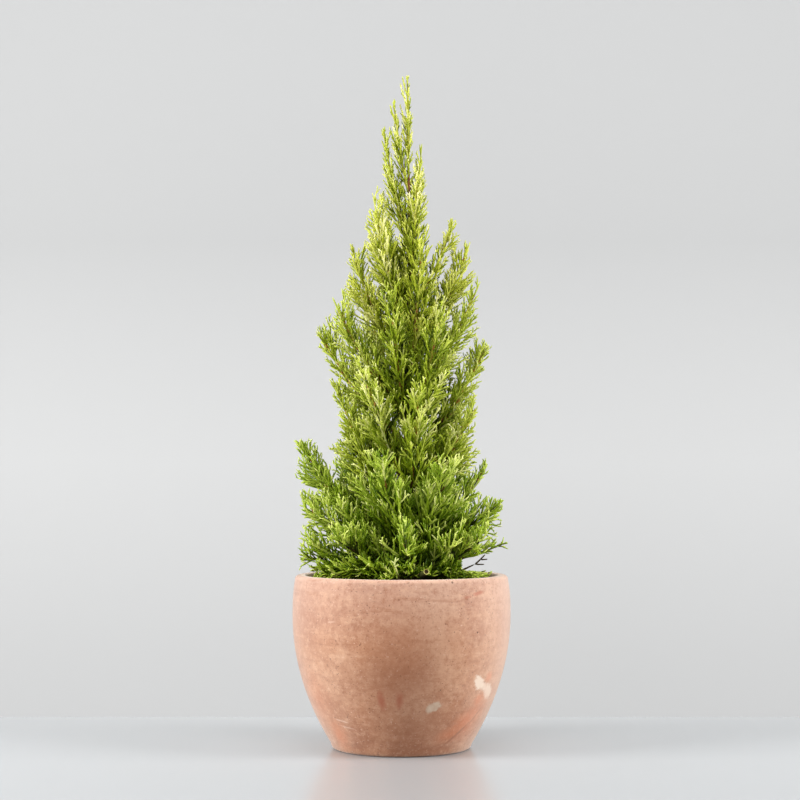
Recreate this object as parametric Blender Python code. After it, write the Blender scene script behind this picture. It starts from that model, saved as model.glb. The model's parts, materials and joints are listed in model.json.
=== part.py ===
# A golden conifer in a thrown terracotta pot, built at its real size.
# Units are metres, +Z is up, and the origin is on the floor under the centre of the pot.
# Headings are degrees seen from above: 0 is right (+X), 90 is back, 180 is left, 270 is front.

import math
import random

import bmesh
import bpy
from mathutils import Matrix, Vector

# Pot: a thrown, egg-shaped bowl with a thick rounded lip.
POT_HEIGHT = 0.199
WIDEST_RADIUS = 0.1255
WIDEST_HEIGHT = 0.155
RIM_RADIUS = 0.1215
FOOT_RADIUS = 0.0775
BELLY_POWER = 2.05  # how the wall draws in from the widest height down to the foot
SHOULDER_POWER = 2.5  # and from the widest height up to the rim
WALL = 0.0146
FLOOR_THICKNESS = 0.015
LIP_ROUND = 0.005
FOOT_ROUND = 0.005
POT_SIDES = 40

# Soil: fills the pot to two fingers below the rim, slightly heaped in the middle.
SOIL_TOP = 0.176
SOIL_EDGE = 0.1725
SOIL_SLOPE_RADIUS = 0.070
SOIL_FLAT_RADIUS = 0.028
INNER_HEIGHTS = (SOIL_EDGE, 0.13, 0.085, 0.045)  # the corners in the inner wall's section

# Everything that rests on or grows from a neighbour keeps this gap to it.
SEAT_GAP = 0.0003

# Trunk: nearly upright, planted a little to the right of the pot's centre.
TRUNK_X = 0.0098
TRUNK_FOOT = SOIL_TOP + SEAT_GAP
TRUNK_TOP = 0.662
TRUNK_RADIUS = 0.0066
TRUNK_TIP_RADIUS = 0.0013
FLARE_RADIUS = 0.0046  # what the root flare adds at the soil
FLARE_HEIGHT = 0.012
TRUNK_SWAY = 0.0022
TRUNK_SIDES = 8
TRUNK_RINGS = 22
LEADER_TIP = Vector((0.0069, 0.0, 0.7732))

# Limbs: each leaves the trunk at its own height and bends upwards on its way out.
BEND_OUT = 0.54  # share of the way out at the bend's control point
BEND_UP = 0.34  # share of the way up there
ROOTED_SHARE = 0.5  # of the trunk's radius: where a limb's line starts, before it is cut clear
BOUGH_RADIUS_SHARE = 0.52  # of the trunk's radius where the bough leaves it
BOUGH_TIP_RADIUS = 0.0017
BOUGH_SIDES = 6
BOUGH_RINGS = 5

# Foliage: a leaf stands for a spray of many branchlets, so it is larger than life.
STEM_RADIUS = 0.0016
STEM_TIP_RADIUS = 0.0009
STEM_SIDES = 3
STEM_RINGS = 6
SHOOT_STEP = 0.0116  # along a stem, from one side shoot to the next
LEAF_WIDTH = 0.046  # times the square root of the leaf's length
LEAF_THICKNESS = 0.0034
LEAF_WIDEST = 0.52
LEAF_LEAST = 0.011
TWIG_RADIUS = 0.0012
TWIG_OVER = 0.058  # a longer side shoot is a twig with several leaves
FORWARD_ANGLE = math.radians(40)  # between a side shoot and its stem
LIFT = Vector((0, 0, 0.4))  # side shoots turn up towards the light
GOLDEN_TURN = math.radians(137.5)
SPACE_GAP = 0.0006  # kept on each side between one mass and the next
CORE_SHARE = 0.5  # of the reach of the side shoots: the dense inside of a mass
CORE_GAP = 0.0016
CORE_SIDES = 5
CORE_RINGS = 5
SEED = 20260

# The main limbs, from the lowest up. "bough" is the share of the limb that is bare wood and is
# a bough of its own; with none, the mass grows straight from the trunk. "out" is the tip's
# distance from the trunk's line, "spread" the longest side shoot.
LIMBS = [
    dict(name="skirt_left", heading=181, leaves=0.200, out=0.129, top=0.222, spread=0.049, bough=0.30),
    dict(name="skirt_front_left", heading=222, leaves=0.197, out=0.108, top=0.240, spread=0.052),
    dict(name="skirt_front", heading=266, leaves=0.193, out=0.104, top=0.246, spread=0.054),
    dict(name="skirt_front_right", heading=318, leaves=0.196, out=0.106, top=0.240, spread=0.052),
    dict(name="skirt_right", heading=2, leaves=0.204, out=0.1125, top=0.236, spread=0.017, bough=0.26),
    dict(name="skirt_back_right", heading=50, leaves=0.195, out=0.108, top=0.240, spread=0.054),
    dict(name="skirt_back", heading=95, leaves=0.193, out=0.106, top=0.240, spread=0.054),
    dict(name="skirt_back_left", heading=138, leaves=0.197, out=0.112, top=0.240, spread=0.054),
    dict(name="low_left", heading=178, leaves=0.212, out=0.130, top=0.355, spread=0.047, bough=0.34),
    dict(name="low_left_front", heading=192, leaves=0.222, out=0.128, top=0.278, spread=0.054, bough=0.26),
    dict(name="low_front", heading=248, leaves=0.226, out=0.090, top=0.326, spread=0.058, bough=0.24),
    dict(name="low_front_right", heading=298, leaves=0.220, out=0.088, top=0.322, spread=0.058, bough=0.24),
    dict(name="low_right_front", heading=348, leaves=0.222, out=0.114, top=0.290, spread=0.048),
    dict(name="low_right", heading=12, leaves=0.232, out=0.096, top=0.331, spread=0.036, bough=0.30),
    dict(name="low_back_right", heading=44, leaves=0.246, out=0.098, top=0.356, spread=0.058),
    dict(name="low_back_left", heading=142, leaves=0.222, out=0.100, top=0.330, spread=0.058),
    dict(name="middle_left", heading=186, leaves=0.256, out=0.086, top=0.418, spread=0.060, bough=0.26),
    dict(name="middle_front_left", heading=228, leaves=0.298, out=0.076, top=0.430, spread=0.054, bough=0.26),
    dict(name="middle_front", heading=278, leaves=0.282, out=0.066, top=0.410, spread=0.056),
    dict(name="middle_right", heading=346, leaves=0.288, out=0.086, top=0.408, spread=0.051, bough=0.30),
    dict(name="middle_back_right", heading=38, leaves=0.286, out=0.086, top=0.420, spread=0.058),
    dict(name="middle_back_left", heading=146, leaves=0.280, out=0.087, top=0.410, spread=0.058),
    dict(name="shoulder_left", heading=180, leaves=0.352, out=0.106, top=0.480, spread=0.054, bough=0.30),
    dict(name="shoulder_left_front", heading=196, leaves=0.386, out=0.092, top=0.516, spread=0.050),
    dict(name="shoulder_right", heading=8, leaves=0.334, out=0.095, top=0.474, spread=0.053, bough=0.30),
    dict(name="shoulder_front", heading=248, leaves=0.366, out=0.056, top=0.520, spread=0.052),
    dict(name="shoulder_front_right", heading=302, leaves=0.352, out=0.064, top=0.500, spread=0.049),
    dict(name="shoulder_back_left", heading=128, leaves=0.366, out=0.078, top=0.518, spread=0.056),
    dict(name="shoulder_back_right", heading=60, leaves=0.356, out=0.072, top=0.510, spread=0.056),
    dict(name="upper_left", heading=182, leaves=0.436, out=0.069, top=0.580, spread=0.050, bough=0.24),
    dict(name="upper_right", heading=356, leaves=0.400, out=0.081, top=0.536, spread=0.054, bough=0.26),
    dict(name="upper_front", heading=290, leaves=0.418, out=0.040, top=0.582, spread=0.045),
    dict(name="upper_right_back", heading=10, leaves=0.446, out=0.071, top=0.584, spread=0.052),
    dict(name="upper_back", heading=98, leaves=0.424, out=0.054, top=0.592, spread=0.049),
    dict(name="high_left", heading=204, leaves=0.480, out=0.047, top=0.636, spread=0.050),
    dict(name="high_back_left", heading=150, leaves=0.500, out=0.040, top=0.640, spread=0.043),
    dict(name="high_right", heading=350, leaves=0.500, out=0.050, top=0.606, spread=0.028),
    dict(name="high_front", heading=292, leaves=0.520, out=0.022, top=0.660, spread=0.036),
    dict(name="top_left", heading=182, leaves=0.580, out=0.031, top=0.713, spread=0.038),
    dict(name="top_right", heading=10, leaves=0.590, out=0.014, top=0.696, spread=0.040),
    dict(name="top_front", heading=190, leaves=0.640, out=0.019, top=0.744, spread=0.029),
]
LEADER_SPREAD = 0.030

# How far the foliage comes out from the trunk's line: height, reach to the left, to the right.
CROWN = [
    (0.195, 0.124, 0.090),
    (0.222, 0.128, 0.113),
    (0.250, 0.128, 0.114),
    (0.285, 0.125, 0.109),
    (0.298, 0.130, 0.078),
    (0.312, 0.133, 0.091),
    (0.331, 0.128, 0.091),
    (0.354, 0.133, 0.076),
    (0.362, 0.090, 0.076),
    (0.377, 0.087, 0.078),
    (0.400, 0.093, 0.079),
    (0.423, 0.098, 0.082),
    (0.446, 0.100, 0.091),
    (0.463, 0.106, 0.094),
    (0.481, 0.102, 0.080),
    (0.515, 0.088, 0.079),
    (0.550, 0.071, 0.077),
    (0.579, 0.068, 0.068),
    (0.607, 0.051, 0.053),
    (0.620, 0.048, 0.022),
    (0.642, 0.044, 0.018),
    (0.677, 0.033, 0.013),
    (0.711, 0.033, 0.008),
    (0.745, 0.022, 0.006),
    (0.775, 0.009, 0.005),
]
BARE_SIDE = (0.070, 0.222)  # no foliage further right than this and lower than this


MERGE_DISTANCE = 1e-5
SHARP_ANGLE = math.radians(50)


# Materials

def material(name, colour, roughness):
    made = bpy.data.materials.new(name)
    made.use_nodes = True
    shader = made.node_tree.nodes["Principled BSDF"]
    shader.inputs["Base Color"].default_value = (*colour, 1.0)
    shader.inputs["Roughness"].default_value = roughness
    shader.inputs["Metallic"].default_value = 0.0
    return made


# Mesh tools

def link_mesh(name, bm, surface):
    """Makes the bmesh an object with outward normals."""
    bmesh.ops.recalc_face_normals(bm, faces=bm.faces)
    mesh = bpy.data.meshes.new(name)
    bm.to_mesh(mesh)
    bm.free()
    mesh.materials.append(surface)
    obj = bpy.data.objects.new(name, mesh)
    bpy.context.scene.collection.objects.link(obj)
    return obj


def apply_modifiers(obj):
    graph = bpy.context.evaluated_depsgraph_get()
    made = bpy.data.meshes.new_from_object(obj.evaluated_get(graph))
    obj.modifiers.clear()
    obj.data = made


def aimed(point, direction, roll=0.0):
    """A matrix at point whose +Z looks along direction, turned by roll about it."""
    turn = Vector((0, 0, 1)).rotation_difference(direction).to_matrix().to_4x4()
    return Matrix.Translation(point) @ turn @ Matrix.Rotation(roll, 4, "Z")


def limb_mesh(bm, path, radii, sides, first_facing=None):
    """A tapering limb: one circle at each point of the path, bridged to the next and capped.
    first_facing, where given, is what the first circle faces."""
    rings = []
    for i, (point, radius) in enumerate(zip(path, radii)):
        along = path[min(i + 1, len(path) - 1)] - path[max(i - 1, 0)]
        facing = first_facing if i == 0 and first_facing else along
        made = bmesh.ops.create_circle(
            bm, cap_ends=False, radius=radius, segments=sides, matrix=aimed(point, facing)
        )
        verts = set(made["verts"])
        rings.append([e for e in bm.edges if e.verts[0] in verts and e.verts[1] in verts])
        if len(rings) > 1:
            bmesh.ops.bridge_loops(bm, edges=rings[-2] + rings[-1])
    bmesh.ops.contextual_create(bm, geom=rings[0])
    bmesh.ops.contextual_create(bm, geom=rings[-1])


def turned(name, profile, sides, surface):
    """Spins a section of (radius, height) points, which starts and ends on the Z axis."""
    bm = bmesh.new()
    verts = [bm.verts.new((radius, 0.0, height)) for radius, height in profile]
    edges = [bm.edges.new(pair) for pair in zip(verts, verts[1:])]
    bmesh.ops.spin(
        bm,
        geom=verts + edges,
        axis=(0, 0, 1),
        cent=(0, 0, 0),
        angle=math.tau,
        steps=sides,
        use_merge=True,
    )
    bmesh.ops.remove_doubles(bm, verts=bm.verts, dist=MERGE_DISTANCE)
    obj = link_mesh(name, bm, surface)
    obj.data.shade_smooth()
    obj.data.set_sharp_from_angle(angle=SHARP_ANGLE)
    return obj


# Pot and soil

def pot_outer_radius(height):
    """The outside of the pot at a height, from two power curves that meet at the widest."""
    if height < WIDEST_HEIGHT:
        share = (WIDEST_HEIGHT - height) / WIDEST_HEIGHT
        return WIDEST_RADIUS - (WIDEST_RADIUS - FOOT_RADIUS) * share**BELLY_POWER
    share = (height - WIDEST_HEIGHT) / (POT_HEIGHT - WIDEST_HEIGHT)
    return WIDEST_RADIUS - (WIDEST_RADIUS - RIM_RADIUS) * share**SHOULDER_POWER


def pot_inner_radius(height):
    return pot_outer_radius(height) - WALL


def floor_radius():
    """The flat inside of the pot, within the round corner where the wall meets its floor."""
    return pot_inner_radius(FLOOR_THICKNESS) - WALL / 2


def pot_profile():
    """The wall's section, from under the foot, up the outside, over the lip and down inside."""
    lip_base = POT_HEIGHT - LIP_ROUND
    outer = [0.012, 0.034, 0.065, 0.10, 0.13, WIDEST_HEIGHT, 0.178, lip_base]
    foot = pot_outer_radius(FOOT_ROUND)
    points = [(0.0, 0.0), (foot - 1.3 * FOOT_ROUND, 0.0), (foot - 0.2 * FOOT_ROUND, FOOT_ROUND)]
    points += [(pot_outer_radius(h), h) for h in outer]
    middle = pot_outer_radius(POT_HEIGHT) - WALL / 2
    half_flat = (WALL - LIP_ROUND) / 2
    points += [(middle + half_flat, POT_HEIGHT), (middle - half_flat, POT_HEIGHT)]
    points += [(pot_inner_radius(h), h) for h in (lip_base, *INNER_HEIGHTS)]
    points += [(floor_radius(), FLOOR_THICKNESS), (0.0, FLOOR_THICKNESS)]
    return points


def make_pot(surface):
    return turned("pot", pot_profile(), POT_SIDES, surface)


def make_soil(surface):
    """The root ball and soil, filling the pot."""
    clear = 2 * SEAT_GAP
    floor = FLOOR_THICKNESS + SEAT_GAP
    points = [(0.0, floor), (floor_radius() - clear, floor)]
    points += [(pot_inner_radius(h) - clear, h) for h in reversed(INNER_HEIGHTS)]
    points += [(SOIL_SLOPE_RADIUS, (SOIL_EDGE + SOIL_TOP) / 2)]
    points += [(SOIL_FLAT_RADIUS, SOIL_TOP), (0.0, SOIL_TOP)]
    return turned("soil", points, POT_SIDES, surface)


# Trunk and limbs

def trunk_point(height):
    """The trunk's centre line, with a slight sway that dies out at both ends."""
    share = (height - TRUNK_FOOT) / (LEADER_TIP.z - TRUNK_FOOT)
    lean = TRUNK_X + (LEADER_TIP.x - TRUNK_X) * share
    sway = math.sin(math.pi * share) * TRUNK_SWAY
    return Vector((lean + sway * math.cos(9 * share), sway * math.sin(11 * share), height))


def trunk_radius(height):
    share = (height - TRUNK_FOOT) / (TRUNK_TOP - TRUNK_FOOT)
    flare = FLARE_RADIUS * math.exp(-(height - TRUNK_FOOT) / FLARE_HEIGHT)
    return TRUNK_TIP_RADIUS + (TRUNK_RADIUS - TRUNK_TIP_RADIUS) * (1 - share) ** 0.9 + flare


def make_trunk(name, surface, fatter=0.0):
    """Rings are closer together over the root flare than above it."""
    bm = bmesh.new()
    heights = []
    for i in range(TRUNK_RINGS):
        share = (i / (TRUNK_RINGS - 1)) ** 1.35
        heights.append(TRUNK_FOOT + (TRUNK_TOP - TRUNK_FOOT) * share)
    path = [trunk_point(h) for h in heights]
    radii = [trunk_radius(h) + fatter for h in heights]
    limb_mesh(bm, path, radii, TRUNK_SIDES, Vector((0, 0, 1)))
    return link_mesh(name, bm, surface)


def heading_vector(degrees):
    return Vector((math.cos(math.radians(degrees)), math.sin(math.radians(degrees)), 0.0))


class Limb:
    """One limb's curve, from inside the trunk to its tip, split into bough and stem."""

    def __init__(self, name, start, bend, tip, spread, bough):
        self.name = name
        self.start = start
        self.bend = bend
        self.tip = tip
        self.spread = spread
        self.bough = bough
        self.line = [self.at(i / 24) for i in range(25)]
        self.length = sum((b - a).length for a, b in zip(self.line, self.line[1:]))

    def at(self, t):
        return self.start * (1 - t) ** 2 + self.bend * 2 * t * (1 - t) + self.tip * t**2

    def along(self, t):
        way = (self.bend - self.start) * 2 * (1 - t) + (self.tip - self.bend) * 2 * t
        return way.normalized()

    def distance(self, point):
        """From a point to the limb's line."""
        nearest = 1.0
        for a, b in zip(self.line, self.line[1:]):
            ab = b - a
            t = max(0.0, min(1.0, (point - a).dot(ab) / ab.length_squared))
            nearest = min(nearest, (a + ab * t - point).length)
        return nearest


def make_limb(name, heading, leaves, out, top, spread, bough=0.0):
    outward = heading_vector(heading)
    start = trunk_point(leaves) + outward * trunk_radius(leaves) * ROOTED_SHARE
    tip = Vector((TRUNK_X, 0.0, top)) + outward * out
    bend = start + (tip - start) * BEND_OUT
    bend.z = start.z + (tip.z - start.z) * BEND_UP
    return Limb(name, start, bend, tip, spread, bough)


def make_leader():
    start = trunk_point(TRUNK_TOP) + Vector((0, 0, SEAT_GAP))
    bend = (start + LEADER_TIP) / 2
    return Limb("leader", start, bend, LEADER_TIP, LEADER_SPREAD, 0.0)


def bough_radius(limb, share):
    thick = trunk_radius(limb.start.z) * BOUGH_RADIUS_SHARE
    return thick + (BOUGH_TIP_RADIUS - thick) * share


def make_bough(limb, surface, clearance):
    """A tapering limb, cut clear of the trunk's bark at its foot."""
    bm = bmesh.new()
    shares = [i / (BOUGH_RINGS - 1) for i in range(BOUGH_RINGS)]
    path = [limb.at(s * limb.bough) for s in shares]
    radii = [bough_radius(limb, s) for s in shares]
    limb_mesh(bm, path, radii, BOUGH_SIDES)
    bough = link_mesh("bough_" + limb.name, bm, surface)
    cut = bough.modifiers.new("clear of the trunk", "BOOLEAN")
    cut.operation = "DIFFERENCE"
    cut.object = clearance
    apply_modifiers(bough)
    return bough


# Foliage

class Space:
    """Says whether a point of one mass is inside that mass's own space."""

    def __init__(self, limbs):
        self.limbs = limbs

    def clear_of_pot(self, point, radius):
        keep = radius + SPACE_GAP
        if point.z < SOIL_TOP + keep or point.xy.length > WIDEST_RADIUS - keep:
            return False
        over_wall = point.xy.length > pot_inner_radius(POT_HEIGHT) - keep
        return not (over_wall and point.z < POT_HEIGHT + keep)

    def clear_of_wood(self, point, radius):
        keep = radius + SPACE_GAP
        if point.z < TRUNK_TOP + keep:
            height = min(point.z, TRUNK_TOP)
            if (point - trunk_point(height)).length < trunk_radius(height) + keep:
                return False
        for limb in self.limbs:
            if not limb.bough or (limb.start - point).length > limb.length:
                continue
            for i in range(9):
                share = i / 8
                centre = limb.at(share * limb.bough)
                if (centre - point).length < bough_radius(limb, share) + keep:
                    return False
        return True

    def in_crown(self, point):
        """True inside the crown's outline, which eases from its left reach to its right one."""
        offset = point - Vector((TRUNK_X, 0, 0))
        if point.x > BARE_SIDE[0] and point.z < BARE_SIDE[1]:
            return False
        if not CROWN[0][0] < point.z < CROWN[-1][0]:
            return point.z < CROWN[0][0]
        for (low, left, right), (high, next_left, next_right) in zip(CROWN, CROWN[1:]):
            if low <= point.z <= high:
                share = (point.z - low) / (high - low)
                left += (next_left - left) * share
                right += (next_right - right) * share
                break
        distance = max(offset.xy.length, 1e-6)
        rightness = 0.5 + 0.5 * offset.x / distance
        return distance < left + (right - left) * rightness

    def holds(self, own, point, radius):
        """True where a ball of this radius round the point is in the mass's own space."""
        if not self.in_crown(point):
            return False
        if not self.clear_of_pot(point, radius) or not self.clear_of_wood(point, radius):
            return False
        keep = radius + SPACE_GAP
        mine = (own.distance(point) + keep) / own.spread
        for other in self.limbs:
            if other is own:
                continue
            if (other.distance(point) - keep) / other.spread < mine:
                return False
        return True


def leaf_mesh(bm, placed, length, width, thickness):
    """A flat spindle of eight faces, widest a little past its middle."""
    middle = bmesh.ops.create_circle(bm, cap_ends=False, radius=0.5, segments=4)["verts"]
    edges = {e for v in middle for e in v.link_edges}
    widest = Matrix.Translation((0, 0, length * LEAF_WIDEST)) @ Matrix.Diagonal((width, thickness, 1, 1))
    bmesh.ops.transform(bm, matrix=widest, verts=middle)
    for height in (0.0, length):
        end = bmesh.ops.create_vert(bm, co=(0, 0, height))["vert"][0]
        for edge in edges:
            bm.faces.new((*edge.verts, end))
    bmesh.ops.transform(bm, matrix=placed, verts=bm.verts)


class Mass:
    """Grows one mass of foliage round its stem, and fuses it into one solid."""

    def __init__(self, limb, space, surface, clearance):
        self.limb = limb
        self.space = space
        self.surface = surface
        self.clearance = clearance
        self.random = random.Random(f"{SEED}{limb.name}")
        self.pieces = bpy.data.collections.new("pieces_" + limb.name)

    def keep(self, name, bm):
        piece = link_mesh(name, bm, self.surface)
        bpy.context.scene.collection.objects.unlink(piece)
        self.pieces.objects.link(piece)

    def keep_if_inside(self, name, bm, samples, radius):
        """Adds the piece unless one of its sample points leaves the mass's space."""
        for point in samples:
            if not self.space.holds(self.limb, point, radius):
                bm.free()
                return False
        self.keep(name, bm)
        return True

    def leaf(self, root, direction, length, roll):
        """Tries a leaf at full length and, where that doesn't fit, shorter."""
        for shorter in (1.0, 0.8, 0.62, 0.46):
            size = length * shorter
            if size < LEAF_LEAST:
                return
            bm = bmesh.new()
            placed = aimed(root, direction, roll)
            width = LEAF_WIDTH * size**0.5
            leaf_mesh(bm, placed, size, width, LEAF_THICKNESS)
            samples = [placed @ Vector((x, 0, size * LEAF_WIDEST)) for x in (width / 2, -width / 2)]
            samples += [root + direction * size * s for s in (0.3, 0.55, 0.8, 1.0)]
            if self.keep_if_inside("leaf", bm, samples, LEAF_THICKNESS / 2):
                return

    def twig(self, root, direction, length, roll):
        """A side twig with a leaf on each side and one at its end."""
        end = root + direction * length * 0.5
        bm = bmesh.new()
        limb_mesh(bm, [root, end], [TWIG_RADIUS, TWIG_RADIUS * 0.7], STEM_SIDES)
        samples = [root + (end - root) * s for s in (0.4, 0.7, 1.0)]
        if not self.keep_if_inside("twig", bm, samples, TWIG_RADIUS):
            self.leaf(root, direction, length * 0.8, roll)
            return
        flat = aimed(root, direction, roll).to_3x3() @ Vector((1, 0, 0))
        for share, sign in ((0.5, 1), (0.75, -1)):
            side_way = direction * math.cos(FORWARD_ANGLE) + flat * sign * math.sin(FORWARD_ANGLE)
            self.leaf(root + (end - root) * share, side_way, length * 0.5, roll)
        self.leaf(end - direction * 0.003, direction, length * 0.5, roll)

    def make_stem(self):
        """The stem of the mass, which carries on the line of the bough it meets."""
        first = self.limb.bough + SEAT_GAP / self.limb.length if self.limb.bough else 0.0
        last = 1.0 - 0.5 * self.limb.spread / self.limb.length
        bm = bmesh.new()
        shares = [i / (STEM_RINGS - 1) for i in range(STEM_RINGS)]
        path = [self.limb.at(first + (last - first) * s) for s in shares]
        radii = [STEM_RADIUS + (STEM_TIP_RADIUS - STEM_RADIUS) * s for s in shares]
        limb_mesh(bm, path, radii, STEM_SIDES)
        return link_mesh("foliage_" + self.limb.name, bm, self.surface), first, last

    def reach(self, share):
        """How far side shoots come out from the stem: short at both ends of the mass."""
        swell = 0.62 + 0.38 * min(1.0, share / 0.3)
        return self.limb.spread * swell * (1 - 0.55 * share**2.4)

    def core(self, first, last):
        """The dense inside: rings round the stem, each corner drawn in to the mass's own space."""
        bm = bmesh.new()
        loops = []
        for ring in range(CORE_RINGS):
            share = (ring + 0.35) / (CORE_RINGS - 0.3)
            t = first + (last - first) * share
            thin = 0.45 if ring in (0, CORE_RINGS - 1) else 1.0
            centre = self.limb.at(t)
            turn = aimed(Vector(), self.limb.along(t), ring * 0.5).to_3x3()
            loop = []
            for side in range(CORE_SIDES):
                angle = math.tau * side / CORE_SIDES
                way = turn @ Vector((math.cos(angle), math.sin(angle), 0))
                wide = self.reach(share) * CORE_SHARE * thin * self.random.uniform(0.8, 1.15)
                while wide > STEM_RADIUS * 1.6:
                    if self.space.holds(self.limb, centre + way * wide, CORE_GAP):
                        break
                    wide *= 0.85
                loop.append(bm.verts.new(centre + way * wide))
            loops.append([bm.edges.new(pair) for pair in zip(loop, loop[1:] + loop[:1])])
        for below, above in zip(loops, loops[1:]):
            bmesh.ops.bridge_loops(bm, edges=below + above)
        for loop in (loops[0], loops[-1]):
            ring_centre = sum((e.verts[0].co for e in loop), Vector()) / CORE_SIDES
            tip = bm.verts.new(ring_centre)
            for edge in loop:
                bm.faces.new((*edge.verts, tip))
        self.keep("core", bm)

    def grow(self):
        stem, first, last = self.make_stem()
        self.core(first, last)
        grown_length = (last - first) * self.limb.length
        count = max(4, round(grown_length / SHOOT_STEP))
        turn = self.random.uniform(0, math.tau)
        for i in range(count):
            share = (i + 0.55) / count
            t = first + (last - first) * share
            along = self.limb.along(t)
            sideways = aimed(Vector(), along, turn).to_3x3() @ Vector((1, 0, 0))
            angle = FORWARD_ANGLE * self.random.uniform(0.85, 1.15)
            direction = along * math.cos(angle) + sideways * math.sin(angle)
            direction = (direction + LIFT).normalized()
            length = self.reach(share) * self.random.uniform(1.1, 1.45)
            grow_side = self.twig if length > TWIG_OVER else self.leaf
            grow_side(self.limb.at(t), direction, length, self.random.uniform(0, math.pi))
            turn += GOLDEN_TURN
        root = self.limb.at(last) - self.limb.along(last) * 0.004
        self.leaf(root, (self.limb.tip - root).normalized(), (self.limb.tip - root).length, turn)
        return self.fuse(stem)

    def fuse(self, stem):
        """One Boolean union of the stem with all its pieces, which are then removed."""
        union = stem.modifiers.new("fuse", "BOOLEAN")
        union.operation = "UNION"
        union.operand_type = "COLLECTION"
        union.collection = self.pieces
        union.solver = "MANIFOLD"
        if not self.limb.bough:
            cut = stem.modifiers.new("clear of the trunk", "BOOLEAN")
            cut.operation = "DIFFERENCE"
            cut.object = self.clearance
            cut.solver = "MANIFOLD"
        apply_modifiers(stem)
        for piece in list(self.pieces.objects):
            bpy.data.objects.remove(piece)
        bpy.data.collections.remove(self.pieces)
        return stem


def main():
    for obj in list(bpy.data.objects):
        bpy.data.objects.remove(obj)
    terracotta = material("terracotta", (0.62, 0.34, 0.23), 0.85)
    potting_soil = material("potting_soil", (0.045, 0.028, 0.018), 0.95)
    bark = material("bark", (0.20, 0.10, 0.055), 0.85)
    greens = {
        "low": material("foliage_low", (0.13, 0.20, 0.03), 0.6),
        "middle": material("foliage_middle", (0.20, 0.27, 0.04), 0.6),
        "top": material("foliage_top", (0.36, 0.40, 0.07), 0.6),
    }
    make_pot(terracotta)
    make_soil(potting_soil)
    make_trunk("trunk", bark)
    clearance = make_trunk("trunk_clearance", bark, SEAT_GAP)
    limbs = [make_limb(**row) for row in LIMBS] + [make_leader()]
    space = Space(limbs)
    for limb in limbs:
        if limb.bough:
            make_bough(limb, bark, clearance)
        tier = "low" if limb.tip.z < 0.38 else "middle" if limb.tip.z < 0.55 else "top"
        Mass(limb, space, greens[tier], clearance).grow()
    bpy.data.objects.remove(clearance)


main()
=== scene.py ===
import json
import math
import random
import time

import bmesh
import bpy
import numpy as np
from mathutils import Matrix, Vector, noise

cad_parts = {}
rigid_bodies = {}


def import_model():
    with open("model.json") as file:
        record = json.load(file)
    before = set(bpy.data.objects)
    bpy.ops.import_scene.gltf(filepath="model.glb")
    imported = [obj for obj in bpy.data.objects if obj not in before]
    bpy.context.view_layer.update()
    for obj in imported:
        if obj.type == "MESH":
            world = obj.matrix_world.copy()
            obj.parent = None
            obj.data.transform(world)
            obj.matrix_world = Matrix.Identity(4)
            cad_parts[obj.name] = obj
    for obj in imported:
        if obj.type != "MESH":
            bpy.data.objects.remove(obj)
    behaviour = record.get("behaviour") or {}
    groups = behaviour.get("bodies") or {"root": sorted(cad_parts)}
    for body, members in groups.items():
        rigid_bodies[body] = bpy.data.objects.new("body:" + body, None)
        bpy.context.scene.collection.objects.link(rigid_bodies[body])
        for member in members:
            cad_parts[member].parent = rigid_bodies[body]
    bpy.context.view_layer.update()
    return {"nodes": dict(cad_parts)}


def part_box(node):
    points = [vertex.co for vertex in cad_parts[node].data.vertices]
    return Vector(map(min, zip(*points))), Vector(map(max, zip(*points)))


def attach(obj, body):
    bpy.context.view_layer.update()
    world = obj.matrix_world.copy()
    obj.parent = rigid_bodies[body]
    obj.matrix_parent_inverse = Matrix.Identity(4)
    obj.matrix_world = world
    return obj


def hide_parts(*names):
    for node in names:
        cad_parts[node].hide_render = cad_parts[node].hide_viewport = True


started = time.time()
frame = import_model()
potLow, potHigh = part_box("pot")
soilLow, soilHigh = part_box("soil")
trunkLow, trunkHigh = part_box("trunk")
print("frame loaded:", len(frame["nodes"]), "nodes")


# mesh and material tools used by every piece

def addPiece(name, mesh):
    piece = bpy.data.objects.new(name, mesh)
    bpy.context.scene.collection.objects.link(piece)
    return piece


def finishBmesh(name, bm, smooth=True):
    bmesh.ops.recalc_face_normals(bm, faces=bm.faces)
    mesh = bpy.data.meshes.new(name)
    bm.to_mesh(mesh)
    bm.free()
    mesh.polygons.foreach_set("use_smooth", [smooth] * len(mesh.polygons))
    return addPiece(name, mesh)


def meshFromArrays(name, points, quads, tris):
    # quads and tris are rows of point numbers, wound to face outwards
    mesh = bpy.data.meshes.new(name)
    corners = np.concatenate([quads.ravel(), tris.ravel()]).astype(np.int32)
    totals = np.concatenate([np.full(len(quads), 4), np.full(len(tris), 3)]).astype(np.int32)
    starts = np.concatenate([[0], np.cumsum(totals)[:-1]]).astype(np.int32)
    mesh.vertices.add(len(points))
    mesh.vertices.foreach_set("co", points.astype(np.float32).ravel())
    mesh.loops.add(len(corners))
    mesh.loops.foreach_set("vertex_index", corners)
    mesh.polygons.add(len(totals))
    mesh.polygons.foreach_set("loop_start", starts)
    mesh.polygons.foreach_set("loop_total", totals)
    mesh.polygons.foreach_set("use_smooth", np.ones(len(totals), dtype=bool))
    mesh.update(calc_edges=True)
    mesh.validate()
    return addPiece(name, mesh)


def spinProfile(bm, profile, steps):
    # profile: (radius, height) points that start and end on the Z axis
    verts = [bm.verts.new((radius, 0, height)) for radius, height in profile]
    edges = [bm.edges.new(pair) for pair in zip(verts, verts[1:])]
    bmesh.ops.spin(bm, geom=verts + edges, axis=(0, 0, 1), cent=(0, 0, 0), angle=math.tau,
                   steps=steps, use_merge=True)
    bmesh.ops.remove_doubles(bm, verts=bm.verts, dist=1e-6)


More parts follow.
